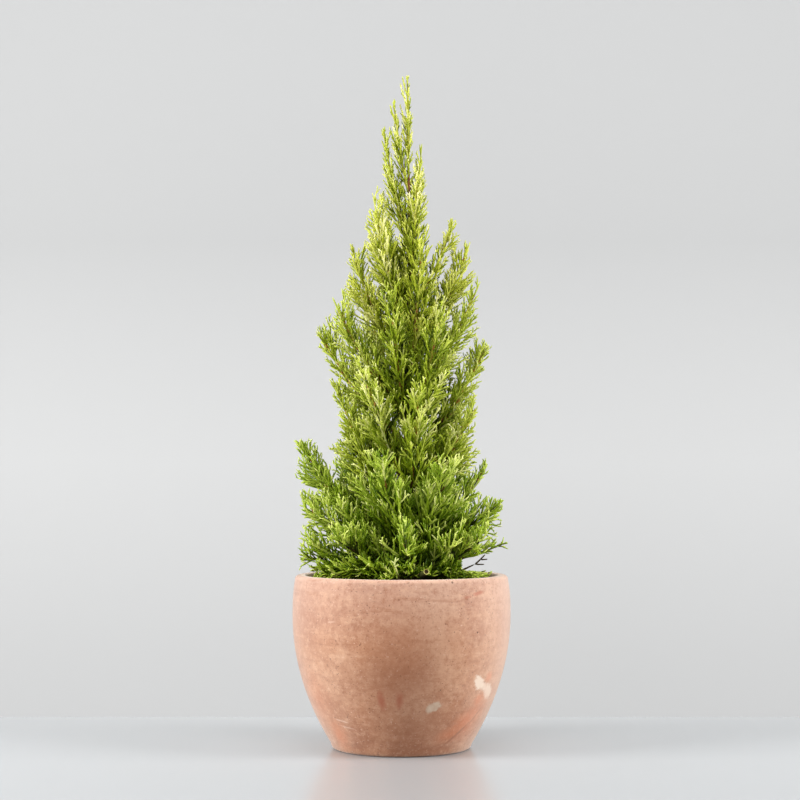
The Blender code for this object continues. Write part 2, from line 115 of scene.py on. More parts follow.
def fromPhoto(red, green, blue):
    # a colour written as 0 to 255 display values, as linear light
    def linear(value):
        share = value / 255
        return share / 12.92 if share <= 0.04045 else ((share + 0.055) / 1.055) ** 2.4
    return (linear(red), linear(green), linear(blue), 1.0)


class Surface:
    # a material with short calls for adding and joining nodes

    def __init__(self, name, colour, roughness, specular):
        self.material = bpy.data.materials.new(name)
        self.material.use_nodes = True
        self.tree = self.material.node_tree
        self.shader = self.tree.nodes["Principled BSDF"]
        self.give(self.shader, {"Base Color": colour, "Roughness": roughness,
                                "Specular IOR Level": specular})

    def give(self, made, inputs):
        # each input gets a fixed value or the output of another node
        for socket, value in inputs.items():
            if isinstance(value, bpy.types.NodeSocket):
                self.tree.links.new(value, made.inputs[socket])
            else:
                made.inputs[socket].default_value = value
        return made

    def node(self, kind, inputs={}, **settings):
        made = self.tree.nodes.new("ShaderNode" + kind)
        for key, value in settings.items():
            setattr(made, key, value)
        return self.give(made, inputs)

    def place(self, stretch=(1, 1, 1), move=(0, 0, 0)):
        coords = self.node("TexCoord").outputs["Object"]
        return self.node("Mapping", {0: coords, "Scale": stretch, "Location": move}).outputs[0]

    def axis(self, name):
        return self.node("SeparateXYZ", {0: self.place()}).outputs[name]

    def noise(self, scale, detail=4, rough=0.5, stretch=(1, 1, 1), warp=0.0, move=(0, 0, 0)):
        inputs = {"Vector": self.place(stretch, move), "Scale": scale, "Detail": detail,
                  "Roughness": rough, "Distortion": warp}
        return self.node("TexNoise", inputs).outputs["Fac"]

    def ramp(self, source, *stops):
        made = self.node("ValToRGB", {"Fac": source})
        while len(made.color_ramp.elements) < len(stops):
            made.color_ramp.elements.new(0.5)
        for element, (position, colour) in zip(made.color_ramp.elements, stops):
            element.position = position
            element.color = colour if isinstance(colour, tuple) else (colour, colour, colour, 1)
        return made.outputs["Color"]

    def maths(self, operation, *values, clamp=False):
        made = self.node("Math", dict(enumerate(values)), operation=operation, use_clamp=clamp)
        return made.outputs[0]

    def mix(self, factor, a, b, blend="MIX"):
        # sockets 6 and 7 are the two colours of the node, and output 2 is the mixed one
        made = self.node("Mix", {0: factor, 6: a, 7: b}, data_type="RGBA", blend_type=blend)
        return made.outputs[2]

    def colour(self, source):
        self.give(self.shader, {"Base Color": source})

    def bump(self, source, distance, strength, **after):
        inputs = {"Height": source, "Distance": distance, "Strength": strength, **after}
        normal = self.node("Bump", inputs).outputs[0]
        self.give(self.shader, {"Normal": normal})
        return normal


# camera, room and light, as in the photograph

cameraPlan = {
    "height": 0.310,  # level, looking along +Y
    "distance": 2.1,  # from the pot's axis
    "middle": 0.400,  # height on the axis that the picture's middle shows
    "aside": -0.0017,
    "lens": 82.03,
    "sensor": 36,
}

roomPlan = {
    "tableBack": 0.266,  # where the table ends behind the pot
    "tableFront": -4.5,
    "tableSide": 3.0,
    "tableFoot": -1.0,
    "floorShade": (0.18, 0.92),  # brighter by this much each metre back, from this at the pot
    "wallBehind": 1.1,
    "wallSide": 5,
    "wallHeights": (-1.5, 3.5),
    "floorColour": fromPhoto(178, 181, 184),
    "wallColour": fromPhoto(200, 201, 202),
    "floorRoughness": 0.22,
    "wallShades": [(0.15, 0.99), (0.51, 0.94), (0.82, 0.74)],  # how far up the shaded span, shade
    "shadeFrom": -0.3,
    "shadeSpan": 1.25,
}

lightPlan = {
    # name: (place, aim, size, power, colour)
    "leftBox": ((-1.75, -0.62, 1.05), (0, 0, 0.35), (0.8, 1.5), 57.0, (1.0, 0.99, 0.97)),
    "rightBox": ((1.75, -0.55, 1.05), (0, 0, 0.35), (0.8, 1.5), 48.0, (1.0, 0.99, 0.97)),
    "topBox": ((0.0, -0.6, 2.2), (0, 0, 0.3), (1.2, 1.0), 22.0, (1.0, 1.0, 1.0)),
    "frontBox": ((-0.9, -3.2, 1.5), (0, 0, 0.35), (1.2, 1.2), 12.0, (0.98, 0.99, 1.0)),
}
skyPlan = {"Color": (0.93, 0.95, 1.0, 1), "Strength": 0.14}


def makeCamera():
    data = bpy.data.cameras.new("camera")
    data.lens = cameraPlan["lens"]
    data.sensor_width = cameraPlan["sensor"]
    seen = cameraPlan["distance"] * cameraPlan["sensor"] / cameraPlan["lens"]
    data.shift_y = (cameraPlan["middle"] - cameraPlan["height"]) / seen
    data.clip_end = 50
    camera = addPiece("camera", data)
    camera.location = (cameraPlan["aside"], -cameraPlan["distance"], cameraPlan["height"])
    camera.rotation_euler = (math.radians(90), 0, 0)
    bpy.context.scene.camera = camera


def makeSheet(place):
    # one square face with its corners moved to place(x, y)
    bm = bmesh.new()
    for vert in bmesh.ops.create_grid(bm, x_segments=1, y_segments=1, size=1)["verts"]:
        vert.co = place(*vert.co.xy)
    return bm


def makeRoom():
    p = roomPlan
    bm = makeSheet(lambda x, y: (x * p["tableSide"], p["tableBack"] if y > 0 else p["tableFront"], 0))
    edge = [e for e in bm.edges if all(v.co.y > 0 for v in e.verts)]
    for item in bmesh.ops.extrude_edge_only(bm, edges=edge)["geom"]:
        if isinstance(item, bmesh.types.BMVert):
            item.co.z = p["tableFoot"]
    table = finishBmesh("table", bm, smooth=False)
    s = Surface("tableTop", p["floorColour"], p["floorRoughness"], 0.5)
    # painted shade: the table darker towards the camera
    shade = s.maths("MULTIPLY_ADD", s.axis("Y"), *p["floorShade"], clamp=True)
    s.colour(s.mix(1.0, p["floorColour"], shade, "MULTIPLY"))
    table.data.materials.append(s.material)

    low, high = p["wallHeights"]
    bm = makeSheet(lambda x, y: (x * p["wallSide"], p["wallBehind"], high if y > 0 else low))
    wall = finishBmesh("wall", bm, smooth=False)
    if wall.data.polygons[0].normal.y > 0:
        wall.data.flip_normals()
    s = Surface("shadedWallPaint", p["wallColour"], 0.9, 0.2)
    up = s.maths("DIVIDE", s.maths("ADD", s.axis("Z"), -p["shadeFrom"]), p["shadeSpan"])
    # painted shade: the wall's colour darkened towards the top by the shades' ramp
    s.colour(s.mix(1.0, p["wallColour"], s.ramp(up, *p["wallShades"]), "MULTIPLY"))
    # clear from behind, so that the plant can be looked at from every side
    behind = s.node("NewGeometry").outputs["Backfacing"]
    clear = s.node("BsdfTransparent").outputs[0]
    blend = s.node("MixShader", {0: behind, 1: s.shader.outputs[0], 2: clear})
    s.give(s.tree.nodes["Material Output"], {"Surface": blend.outputs[0]})
    wall.data.materials.append(s.material)


def makeLights():
    for name, (place, aim, size, power, colour) in lightPlan.items():
        data = bpy.data.lights.new(name, "AREA")
        data.shape = "RECTANGLE"
        data.size, data.size_y = size
        data.energy = power
        data.color = colour
        lamp = addPiece(name, data)
        lamp.location = place
        lamp.rotation_euler = (Vector(aim) - Vector(place)).to_track_quat("-Z", "Y").to_euler()
    world = bpy.data.worlds.new("world")
    bpy.context.scene.world = world
    world.use_nodes = True
    for socket, value in skyPlan.items():
        world.node_tree.nodes["Background"].inputs[socket].default_value = value


makeCamera()
makeRoom()
makeLights()
bpy.context.scene.view_settings.view_transform = "Standard"
print("camera, room and light done")


# pot: thrown terracotta, in the CAD pot's own section but round and with its throwing marks

potPlan = {
    "height": potHigh.z,
    "widest": potHigh.x,
    "widestAt": 0.155,
    "rim": 0.1215,
    "foot": 0.0775,
    "bellyPower": 2.05,
    "shoulderPower": 2.5,
    "wall": 0.0146,
    "floor": 0.015,
    "lip": 0.0052,
    "footRound": 0.0052,
    "steps": 180,
    "wobble": 0.00035,
    "wobbleSize": 9,
    "ridge": 0.00005,  # height of a throwing ridge
    "ridgeSpacing": 0.0072,
    "flatEdge": 0.004,  # no ridges this near the rim and the underside
    "clay": fromPhoto(188, 136, 104),
    "clayDark": fromPhoto(154, 98, 68),
    "clayPale": fromPhoto(214, 172, 142),
    "clayRed": fromPhoto(170, 92, 68),
    "clayBand": fromPhoto(191, 161, 149),
    "clayOrange": fromPhoto(212, 122, 76),
    "limeWhite": fromPhoto(232, 212, 192),
    "limeGrey": fromPhoto(208, 190, 168),
    # lime, and also the painted highlight on the pot's sides and lip
    "limePinkAndHighlight": fromPhoto(226, 194, 176),
    # dark damp stain of the inside, with painted shade there; also the dark grit in the pores
    "damp": fromPhoto(76, 48, 32),
    "dust": fromPhoto(252, 244, 238),
}


def potRadius(height):
    p = potPlan
    if height < p["widestAt"]:
        share = (p["widestAt"] - height) / p["widestAt"]
        return p["widest"] - (p["widest"] - p["foot"]) * share ** p["bellyPower"]
    share = (height - p["widestAt"]) / (p["height"] - p["widestAt"])
    return p["widest"] - (p["widest"] - p["rim"]) * share ** p["shoulderPower"]


def arc(x, z, wide, tall, angles):
    return [(x + wide * math.cos(angle), z + tall * math.sin(angle)) for angle in angles]


def potSection():
    # from the middle of the underside out, up, over the lip and down the inside
    p = potPlan
    lip, wall, foot = p["lip"], p["wall"], p["footRound"]
    section = [(0, 0), (0.03, 0), (0.06, 0)]
    section += arc(potRadius(foot) - foot * 1.2, foot, foot * 1.25, foot,
                   [-math.pi / 2 + i / 5 * math.radians(58) for i in range(6)])
    low, high = foot + 0.0015, p["height"] - lip
    heights = [low + (high - low) * i / 44 for i in range(45)]
    section += [(potRadius(h), h) for h in heights]
    outer, quarter = potRadius(high), [i / 8 * math.pi / 2 for i in range(8)]
    section += arc(outer - lip, high, lip, lip, quarter[1:])
    section += arc(outer - wall + lip, high, lip, lip, [math.pi / 2 + angle for angle in quarter])
    inside = p["floor"] + 0.012
    heights = [high - (high - inside) * i / 24 for i in range(25)]
    section += [(potRadius(h) - wall, h) for h in heights]
    corner = potRadius(p["floor"]) - wall - 0.006
    return section + [(corner + 0.003, p["floor"] + 0.003), (corner, p["floor"]), (0, p["floor"])]


def makePot():
    p = potPlan
    bm = bmesh.new()
    spinProfile(bm, potSection(), p["steps"])
    inner = bm.verts.layers.float.new("inner")
    for vert in bm.verts:
        z = vert.co.z
        radial = Vector((vert.co.x, vert.co.y, 0))
        if radial.length < potRadius(z) - p["wall"] / 2:
            if z > p["floor"] / 2:
                vert[inner] = min(1, max(0, (p["height"] - 0.002 - z) / 0.004))
        elif p["flatEdge"] <= z <= p["height"] - p["flatEdge"]:
            turn = math.atan2(radial.y, radial.x)
            ridge = math.sin(math.tau * (z / p["ridgeSpacing"] + turn / math.tau))
            ridge *= 0.4 + noise.noise(Vector((0, 0, z * 40)))
            push = ridge * p["ridge"] + (noise.noise(vert.co * p["wobbleSize"]) - 0.35) * p["wobble"]
            vert.co += radial.normalized() * push * min(1, (p["height"] - z) / 0.02)
    pot = finishBmesh("terracottaPot", bm)
    pot.data.materials.append(terracotta())
    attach(pot, "root")
    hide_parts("pot")


potMarks = [
    # heading, then height on the pot, width and height in mm, tilt, colour, how solid, softness
    (289, 58.5, 10, 5.8, 24, "limeGrey", 0.9, 0.4),
    (287, 56.2, 5, 3.6, 30, "limeGrey", 0.8, 0.4),
    (318.5, 83, 11.2, 7.2, -40, "limeWhite", 0.95, 0.4),
    (323.5, 78, 6, 4.6, -35, "limeWhite", 0.75, 0.5),
    (330, 71.2, 12.5, 7.6, -34, "limeWhite", 0.85, 0.5),
    (327, 88, 6, 6, 0, "clayOrange", 0.6, 0.9),
    (322, 64, 8, 6, 20, "clayOrange", 0.45, 1.0),
    (326, 54, 13, 12, -30, "clayOrange", 0.4, 1.6),
    (315, 40, 15, 10.5, 30, "clayOrange", 0.55, 1.3),
    (322, 30, 16, 14, 10, "clayOrange", 0.35, 1.8),
    (304, 25, 12, 7, 15, "clayOrange", 0.45, 1.4),
    (311.5, 23.5, 20, 1.6, 42, "clayDark", 0.85, 0.6),
    (325, 44, 14, 1.4, 52, "clayDark", 0.6, 0.6),
    # painted highlight: two broad pale washes on the left and right sides, where the side lamps light
    # the pot
    (200, 120, 48, 90, 0, "limePinkAndHighlight", 0.3, 2.8),
    (344, 130, 42, 90, 0, "limePinkAndHighlight", 0.6, 2.6),
    (220, 22, 11, 15, -20, "clayOrange", 0.45, 1.4),
    (210, 62, 18, 22, 0, "clayOrange", 0.25, 1.8),
    (313, 183, 8.5, 2.2, 10, "clayRed", 0.55, 0.8),
    (306, 179.5, 6, 1.4, 4, "clayRed", 0.35, 0.8),
    (258.5, 66.5, 3.8, 9.5, 8, "clayRed", 0.85, 1.1),
    (268.8, 67.5, 4, 9, -4, "clayRed", 0.85, 1.1),
    # painted shade over the pot's own brown staining: broad dark patches down the front
    (276, 118, 40, 40, 10, "clayDark", 0.6, 2.2),
    (262, 86, 32, 24, -12, "clayDark", 0.45, 2.0),
    (281, 35, 36, 26, 0, "clayDark", 0.6, 2.2),
    (297, 196, 1.2, 1.2, 0, "damp", 0.8, 0.4),
    (312, 140, 1.4, 1.4, 0, "damp", 0.8, 0.4),
    (305.5, 156, 1, 0.8, 0, "damp", 0.6, 0.4),
    (297.5, 142, 0.9, 0.9, 0, "damp", 0.6, 0.4),
    (292, 78, 0.9, 0.9, 0, "damp", 0.6, 0.4),
    (232, 152, 6, 0.7, 4, "limePinkAndHighlight", 0.55, 0.6),
    (228, 40, 10, 0.9, -8, "limePinkAndHighlight", 0.5, 0.6),
    (231, 33, 12, 0.8, -8, "limePinkAndHighlight", 0.4, 0.6),
]


def addMark(s, base, heading, height, width, tall, tilt, colour, solid, soft):
    # one mark: an ellipse on the pot's side, frayed by noise; most are stains, and a few are painted
    # highlight or painted shade
    turn, height = math.radians(heading), height / 1000
    radius = potRadius(height)
    middle = (radius * math.cos(turn), radius * math.sin(turn), height)
    vector = s.node("TexCoord").outputs["Object"]
    for kind, socket, value, setting in (
            ("VectorMath", 1, middle, {"operation": "SUBTRACT"}),
            ("VectorRotate", "Angle", -turn, {"rotation_type": "Z_AXIS"}),
            ("VectorRotate", "Angle", math.radians(-tilt), {"rotation_type": "X_AXIS"}),
            ("VectorMath", 1, (0.04, width / 1000, tall / 1000), {"operation": "DIVIDE"})):
        vector = s.node(kind, {0: vector, socket: value}, **setting).outputs[0]
    length = s.node("VectorMath", {0: vector}, operation="LENGTH").outputs["Value"]
    fray = s.noise(220, 4, 0.65, move=(heading, height, 0))
    reach = s.maths("ADD", length, s.maths("MULTIPLY", fray, 1.3))
    share = s.node("MapRange", {"Value": reach, "From Min": 1.55 + soft / 2,
                                "From Max": 1.55 - soft / 2, "To Max": solid})
    return s.mix(share.outputs["Result"], base, potPlan[colour])


def terracotta():
    p = potPlan
    s = Surface("terracottaClay", p["clay"], 0.78, 0.25)
    s.give(s.shader, {"Sheen Weight": 0.6, "Sheen Roughness": 0.45, "Sheen Tint": p["dust"]})
    up = s.maths("DIVIDE", s.axis("Z"), p["height"])
    cloud = s.noise(13, 6, 0.66, stretch=(1, 1, 1.3), warp=0.5)
    wash = s.noise(9, 5, 0.60, stretch=(1, 1, 0.7), move=(3, 1, 2))
    ragged = s.maths("ADD", up, s.maths("MULTIPLY", s.noise(18, 5, 0.6, stretch=(1, 1, 2)), 0.12))
    lip = s.maths("ADD", up, s.maths("MULTIPLY", s.noise(30, 3), 0.03))
    brushed = s.noise(24, 6, 0.72, stretch=(0.6, 0.6, 4.5), warp=0.3)
    lines = s.noise(9, 5, 0.7, stretch=(0.5, 0.5, 22), warp=0.2)
    broken = s.maths("MULTIPLY", s.ramp(lines, (0.62, 0.0), (0.70, 0.45)),
                     s.ramp(cloud, (0.35, 0.0), (0.60, 1.0)))
    mottle, speck = s.noise(150, 6, 0.8), s.noise(480, 2, 0.5)
    colour = p["clay"]
    for share, paint in (
            # cloudy patches and pale washes
            (s.ramp(cloud, (0.42, 0.0), (0.60, 0.70)), "clayDark"),
            (s.ramp(wash, (0.47, 0.0), (0.66, 0.65)), "clayPale"),
            # paler and greyer above the widest part; palest on the lip, where lime lies with a painted
            # highlight along the top
            (s.ramp(ragged, (0.68, 0.0), (0.86, 0.20), (1.0, 0.36)), "clayBand"),
            (s.ramp(lip, (0.985, 0.0), (1.0, 0.20)), "limePinkAndHighlight"),
            # brushed streaks and a few of the thrower's lines, broken up by the clouds
            (s.ramp(brushed, (0.54, 0.0), (0.68, 0.50)), "clayDark"),
            (s.ramp(brushed, (0.32, 0.40), (0.45, 0.0)), "clayPale"),
            (broken, "clayDark"),
            # grainy mottling, and pores with dark and pale grit
            (s.ramp(mottle, (0.50, 0.0), (0.66, 0.60)), "clayDark"),
            (s.ramp(mottle, (0.34, 0.50), (0.48, 0.0)), "clayPale"),
            (s.ramp(speck, (0.66, 0.0), (0.72, 0.75)), "damp"),
            (s.ramp(speck, (0.27, 0.70), (0.32, 0.0)), "limePinkAndHighlight")):
        colour = s.mix(share, colour, p[paint])
    for mark in potMarks:
        colour = addMark(s, colour, *mark)
    # the inside is darker: stained by damp soil, and painted shade inside the pot
    inner = s.node("Attribute", attribute_name="inner").outputs["Fac"]
    s.colour(s.mix(inner, colour, p["damp"]))
    first = s.bump(s.noise(900, 3, 0.7), 0.00012, 0.5)
    s.bump(brushed, 0.00025, 0.4, Normal=first)
    return s.material


makePot()
print("pot done", round(time.time() - started, 1), "s")


# soil: damp, crumbly mix with bits of bark on top

soilPlan = {
    "top": soilHigh.z,
    "edge": 0.1725,
    "radius": soilHigh.x,
    "bottom": soilLow.z,
    "gap": 0.0008,  # left between the soil and the pot's wall
    "lump": 0.0022,
    "rings": 44,
    "steps": 150,
    "seed": 4,
    "crumbs": 900,
    "crumbSize": (0.0010, 0.0034),
    "chips": 70,
    "dark": fromPhoto(46, 32, 22),
    "mid": fromPhoto(78, 56, 38),
    "chipColour": fromPhoto(122, 88, 58),
}


def soilHeight(x, y):
    p = soilPlan
    share = min(1, math.hypot(x, y) / p["radius"])
    base = p["top"] - 0.0008 - (p["top"] - p["edge"]) * share ** 2
    lumps = noise.noise(Vector((x * 60, y * 60, 1)))
    lumps += 0.5 * noise.noise(Vector((x * 170, y * 170, 2)))
    return base + (lumps - 0.6) * p["lump"] * (1 - share ** 8)


def makeSoil():
    p = soilPlan
    bm = bmesh.new()
    rings = p["rings"]
    wall = potPlan["wall"] + p["gap"]
    section = [(0, p["bottom"]), (potRadius(p["bottom"]) - wall - 0.008, p["bottom"])]
    section += [(potRadius(h) - wall - 2 * p["gap"], h) for h in (0.045, 0.085, 0.13, p["edge"])]
    outer = section[-1][0]
    section += [(outer * (1 - i / rings), p["edge"] + 0.0001) for i in range(1, rings + 1)]
    spinProfile(bm, section, p["steps"])
    for vert in bm.verts:
        if vert.co.z > p["edge"] - 1e-5 and vert.co.xy.length < outer - 1e-4:
            vert.co.z = soilHeight(vert.co.x, vert.co.y)
    soil = finishBmesh("pottingSoil", bm)
    s = Surface("dampSoil", p["dark"], 0.95, 0.2)
    grains = s.noise(300, 4, 0.7)
    s.colour(s.ramp(grains, (0.36, p["dark"]), (0.66, p["mid"])))
    s.bump(grains, 0.0012, 0.8)
    soil.data.materials.append(s.material)
    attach(soil, "root")
    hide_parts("soil")

    dice = random.Random(p["seed"])
    bm = bmesh.new()
    for i in range(p["crumbs"] + p["chips"]):
        chip = i >= p["crumbs"]
        size = dice.uniform(*p["crumbSize"]) * (1.5 if chip else 1)
        reach = (outer - 0.004) * math.sqrt(dice.random())
        turn = dice.uniform(0, math.tau)
        x, y = reach * math.cos(turn), reach * math.sin(turn)
        shape = (1.6, 0.8, 0.3) if chip else (1, dice.uniform(0.7, 1), dice.uniform(0.6, 0.9))
        place = Matrix.Translation((x, y, soilHeight(x, y) + size * 0.25))
        place @= Matrix.Rotation(dice.uniform(0, math.tau), 4, (dice.random(), dice.random(), 2))
        place @= Matrix.Diagonal((*shape, 1))
        made = bmesh.ops.create_icosphere(bm, subdivisions=1, radius=size / 2, matrix=place)
        for vert in made["verts"]:
            vert.co += noise.noise_vector(vert.co * 900) * size * 0.12
        if chip:
            for face in {f for v in made["verts"] for f in v.link_faces}:
                face.material_index = 1
    crumbs = finishBmesh("soilCrumbs", bm, smooth=False)
    crumbs.data.materials.append(s.material)
    c = Surface("barkChips", p["chipColour"], 0.9, 0.2)
    c.colour(c.ramp(c.noise(400, 3), (0.35, p["mid"]), (0.65, p["chipColour"])))
    crumbs.data.materials.append(c.material)
    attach(crumbs, "root")


makeSoil()
print("soil done", round(time.time() - started, 1), "s")


# trunk and limbs: the same lines as the CAD limbs

trunkPlan = {
    "x": 0.0098,
    "foot": trunkLow.z,
    "top": trunkHigh.z,
    "radius": 0.0066,
    "tipRadius": 0.0013,
    "flare": 0.0046,
    "flareHeight": 0.012,
    "sway": 0.0022,
    "leaderTip": (0.0069, 0.0, 0.7732),
    "sides": 40,
    "rings": 420,
    "barkDepth": 0.00055,
    "barkDark": fromPhoto(78, 48, 32),
    "barkMid": fromPhoto(128, 80, 52),
    "barkPale": fromPhoto(172, 122, 86),
    # darker, greener bark just above the soil: damp, with painted shade under the foliage
    "barkDampAndShade": fromPhoto(50, 46, 24),
}

limbPlan = {
    "bendOut": 0.54,
    "bendUp": 0.34,
    "rooted": 0.5,
    "boughShare": 0.52,  # of the trunk's radius where the bough leaves it
    "boughTip": 0.0017,
    "stemRadius": 0.0015,
    "stemTip": 0.0007,
    # name, heading, in mm where it leaves the trunk, the tip's distance, the tip's height and the
    # spread of its twigs, then the share of its line that is a bough
    "limbs": [
        ("skirtLeft", 181, 200, 129, 222, 49, 0.30),
        ("skirtFrontLeft", 222, 197, 108, 240, 52, 0),
        ("skirtFront", 266, 193, 104, 246, 54, 0),
        ("skirtFrontRight", 318, 196, 106, 240, 52, 0),
        ("skirtRight", 2, 204, 112.5, 236, 17, 0.26),
        ("skirtBackRight", 50, 195, 108, 240, 54, 0),
        ("skirtBack", 95, 193, 106, 240, 54, 0),
        ("skirtBackLeft", 138, 197, 112, 240, 54, 0),
        ("lowLeft", 178, 212, 130, 355, 47, 0.34),
        ("lowLeftFront", 192, 222, 128, 278, 54, 0.26),
        ("lowFront", 248, 226, 90, 326, 58, 0.24),
        ("lowFrontRight", 298, 220, 88, 322, 58, 0.24),
        ("lowRightFront", 348, 222, 114, 290, 48, 0),
        ("lowRight", 12, 232, 96, 331, 36, 0.30),
        ("lowBackRight", 44, 246, 98, 356, 58, 0),
        ("lowBackLeft", 142, 222, 100, 330, 58, 0),
        ("middleLeft", 186, 256, 86, 418, 60, 0.26),
        ("middleFrontLeft", 228, 298, 76, 430, 54, 0.26),
        ("middleFront", 278, 282, 66, 410, 56, 0),
        ("middleRight", 346, 288, 86, 408, 51, 0.30),
        ("middleBackRight", 38, 286, 86, 420, 58, 0),
        ("middleBackLeft", 146, 280, 87, 410, 58, 0),
        ("shoulderLeft", 180, 352, 106, 480, 54, 0.30),
        ("shoulderLeftFront", 196, 386, 92, 516, 50, 0),
        ("shoulderRight", 8, 334, 95, 474, 53, 0.30),
        ("shoulderFront", 248, 366, 56, 520, 52, 0),
        ("shoulderFrontRight", 302, 352, 64, 500, 49, 0),
        ("shoulderBackLeft", 128, 366, 78, 518, 56, 0),
        ("shoulderBackRight", 60, 356, 72, 510, 56, 0),
        ("upperLeft", 182, 436, 69, 580, 50, 0.24),
        ("upperRight", 356, 400, 81, 536, 54, 0.26),
        ("upperFront", 290, 418, 40, 582, 45, 0),
        ("upperRightBack", 10, 446, 71, 584, 52, 0),
        ("upperBack", 98, 424, 54, 592, 49, 0),
        ("highLeft", 204, 480, 47, 636, 50, 0),
        ("highBackLeft", 150, 500, 40, 640, 43, 0),
        ("highRight", 350, 500, 50, 606, 28, 0),
        ("highFront", 292, 520, 22, 660, 36, 0),
        ("topLeft", 182, 580, 31, 713, 38, 0),
        ("topRight", 10, 590, 14, 696, 40, 0),
        ("topFront", 190, 640, 19, 744, 29, 0),
    ],
    "leaderSpread": 0.030,
}

crownPlan = {
    # in mm: how far the foliage comes out from the trunk's line, to the left and to the right
    "height": [195, 222, 250, 285, 298, 312, 331, 354, 362, 377, 400, 423, 446, 463, 481, 515,
               550, 579, 607, 620, 642, 677, 711, 745, 775],
    "left": [124, 128, 128, 125, 130, 133, 128, 133, 85, 82, 88, 93, 100, 106, 108, 80, 74, 68,
             51, 48, 44, 33, 33, 22, 9],
    "right": [90, 113, 114, 109, 78, 91, 91, 76, 76, 78, 79, 82, 91, 94, 80, 79, 77, 68, 53, 24,
              21, 15, 9, 6, 5],
    "bareSide": (70, 203.5, 222),  # no foliage further right than this, between these heights
}
crown = {key: np.array(sizes) / 1000 for key, sizes in crownPlan.items()}
skyward = np.array((0, 0, 1))


def trunkPoint(height):
    p = trunkPlan
    share = (height - p["foot"]) / (p["leaderTip"][2] - p["foot"])
    lean = p["x"] + (p["leaderTip"][0] - p["x"]) * share
    sway = math.sin(math.pi * share) * p["sway"]
    return np.array((lean + sway * math.cos(9 * share), sway * math.sin(11 * share), height))


def trunkRadius(height):
    p = trunkPlan
    share = min(1, (height - p["foot"]) / (p["top"] - p["foot"]))
    flare = p["flare"] * math.exp(-(height - p["foot"]) / p["flareHeight"])
    return p["tipRadius"] + (p["radius"] - p["tipRadius"]) * (1 - share) ** 0.9 + flare


def curvePoint(a, b, c, t):
    # on the quadratic curve from a to c that bends towards b
    return a * (1 - t) ** 2 + b * 2 * t * (1 - t) + c * t ** 2


def curveSlope(a, b, c, t):
    # half the curve's slope, which is enough for its direction
    return (1 - t) * (b - a) + t * (c - b)


def onLimb(limb, shares):
    # points at these shares of the limb's line
    t = np.asarray(shares, dtype=float)[:, None]
    return curvePoint(limb["start"], limb["bend"], limb["tip"], t)


def makeLimbs():
    limbs = []
    for name, heading, *sizes, bough in limbPlan["limbs"]:
        leaves, out, top, spread = (size / 1000 for size in sizes)
        way = np.array((math.cos(math.radians(heading)), math.sin(math.radians(heading)), 0))
        start = trunkPoint(leaves) + way * trunkRadius(leaves) * limbPlan["rooted"]
        tip = np.array((trunkPlan["x"], 0, top)) + way * out
        bend = start + (tip - start) * limbPlan["bendOut"]
        bend[2] = start[2] + (tip[2] - start[2]) * limbPlan["bendUp"]
        limbs.append(dict(name=name, start=start, bend=bend, tip=tip, spread=spread, bough=bough))
    start = trunkPoint(trunkPlan["top"])
    tip = np.array(trunkPlan["leaderTip"])
    limbs.append(dict(name="leader", start=start, bend=(start + tip) / 2, tip=tip,
                      spread=limbPlan["leaderSpread"], bough=0))
    for limb in limbs:
        limb["line"] = onLimb(limb, np.linspace(0, 1, 25))
        limb["length"] = np.linalg.norm(np.diff(limb["line"], axis=0), axis=1).sum()
    return limbs


def unit(vectors):
    return vectors / np.maximum(np.linalg.norm(vectors, axis=-1, keepdims=True), 1e-9)


def crossAxes(direction, turn):
    # two axes square to each direction, turned about it
    steep = np.abs(direction[:, 2:3]) >= 0.9
    helper = np.where(steep, np.array([[1.0, 0, 0]]), np.array([[0.0, 0, 1]]))
    first = unit(np.cross(direction, helper))
    second = np.cross(direction, first)
    c, s = np.cos(turn)[:, None], np.sin(turn)[:, None]
    return first * c + second * s, second * c - first * s


def rods(a, b, c, foot, tip, rings, sides, turn, scaly=0.0):
    # rods along quadratic curves, each closed at its foot and drawn in to a blunt point
    count = len(a)
    # the last ring sits just short of the end and is drawn in
    lastRing, drawnIn = 0.94, 0.72
    t = np.linspace(0, lastRing, rings)
    centres = curvePoint(a[:, None], b[:, None], c[:, None], t[None, :, None])
    first, second = crossAxes(unit(c - a), turn)
    radius = foot[:, None] * (1 - t) + tip[:, None] * t
    radius[:, -1] *= drawnIn
    angles = np.arange(sides) / sides * math.tau
    wide = np.ones((rings, sides))
    if scaly:
        # pairs of scales stand out in turn along one axis and the other
        odd = (np.arange(rings)[:, None] + np.arange(sides)[None, :]) % 2
        wide += scaly * np.where(odd == 0, 1.0, -0.6)
        wide[0] = 1
    ring = (first[:, None, None, :] * np.cos(angles)[None, None, :, None]
            + second[:, None, None, :] * np.sin(angles)[None, None, :, None])
    points = centres[:, :, None, :] + ring * (radius[:, :, None] * wide[None])[..., None]
    each = rings * sides + 1
    points = np.concatenate([points.reshape(count, each - 1, 3), c[:, None, :]], axis=1)
    i = np.arange(sides)
    j = (i + 1) % sides
    starts = np.arange(rings)[:, None] * sides
    low, lowNext, high, highNext = starts[:-1] + i, starts[:-1] + j, starts[1:] + i, starts[1:] + j
    quads = np.stack([low, lowNext, highNext, high], 2).reshape(-1, 4)
    tipTris = np.stack([starts[-1] + i, starts[-1] + j, np.full(sides, each - 1)], 1)
    footTris = np.stack([np.zeros(sides - 2, int), i[2:], i[1:-1]], 1)
    offset = (np.arange(count) * each)[:, None, None]
    return points, quads[None] + offset, np.concatenate([tipTris, footTris])[None] + offset


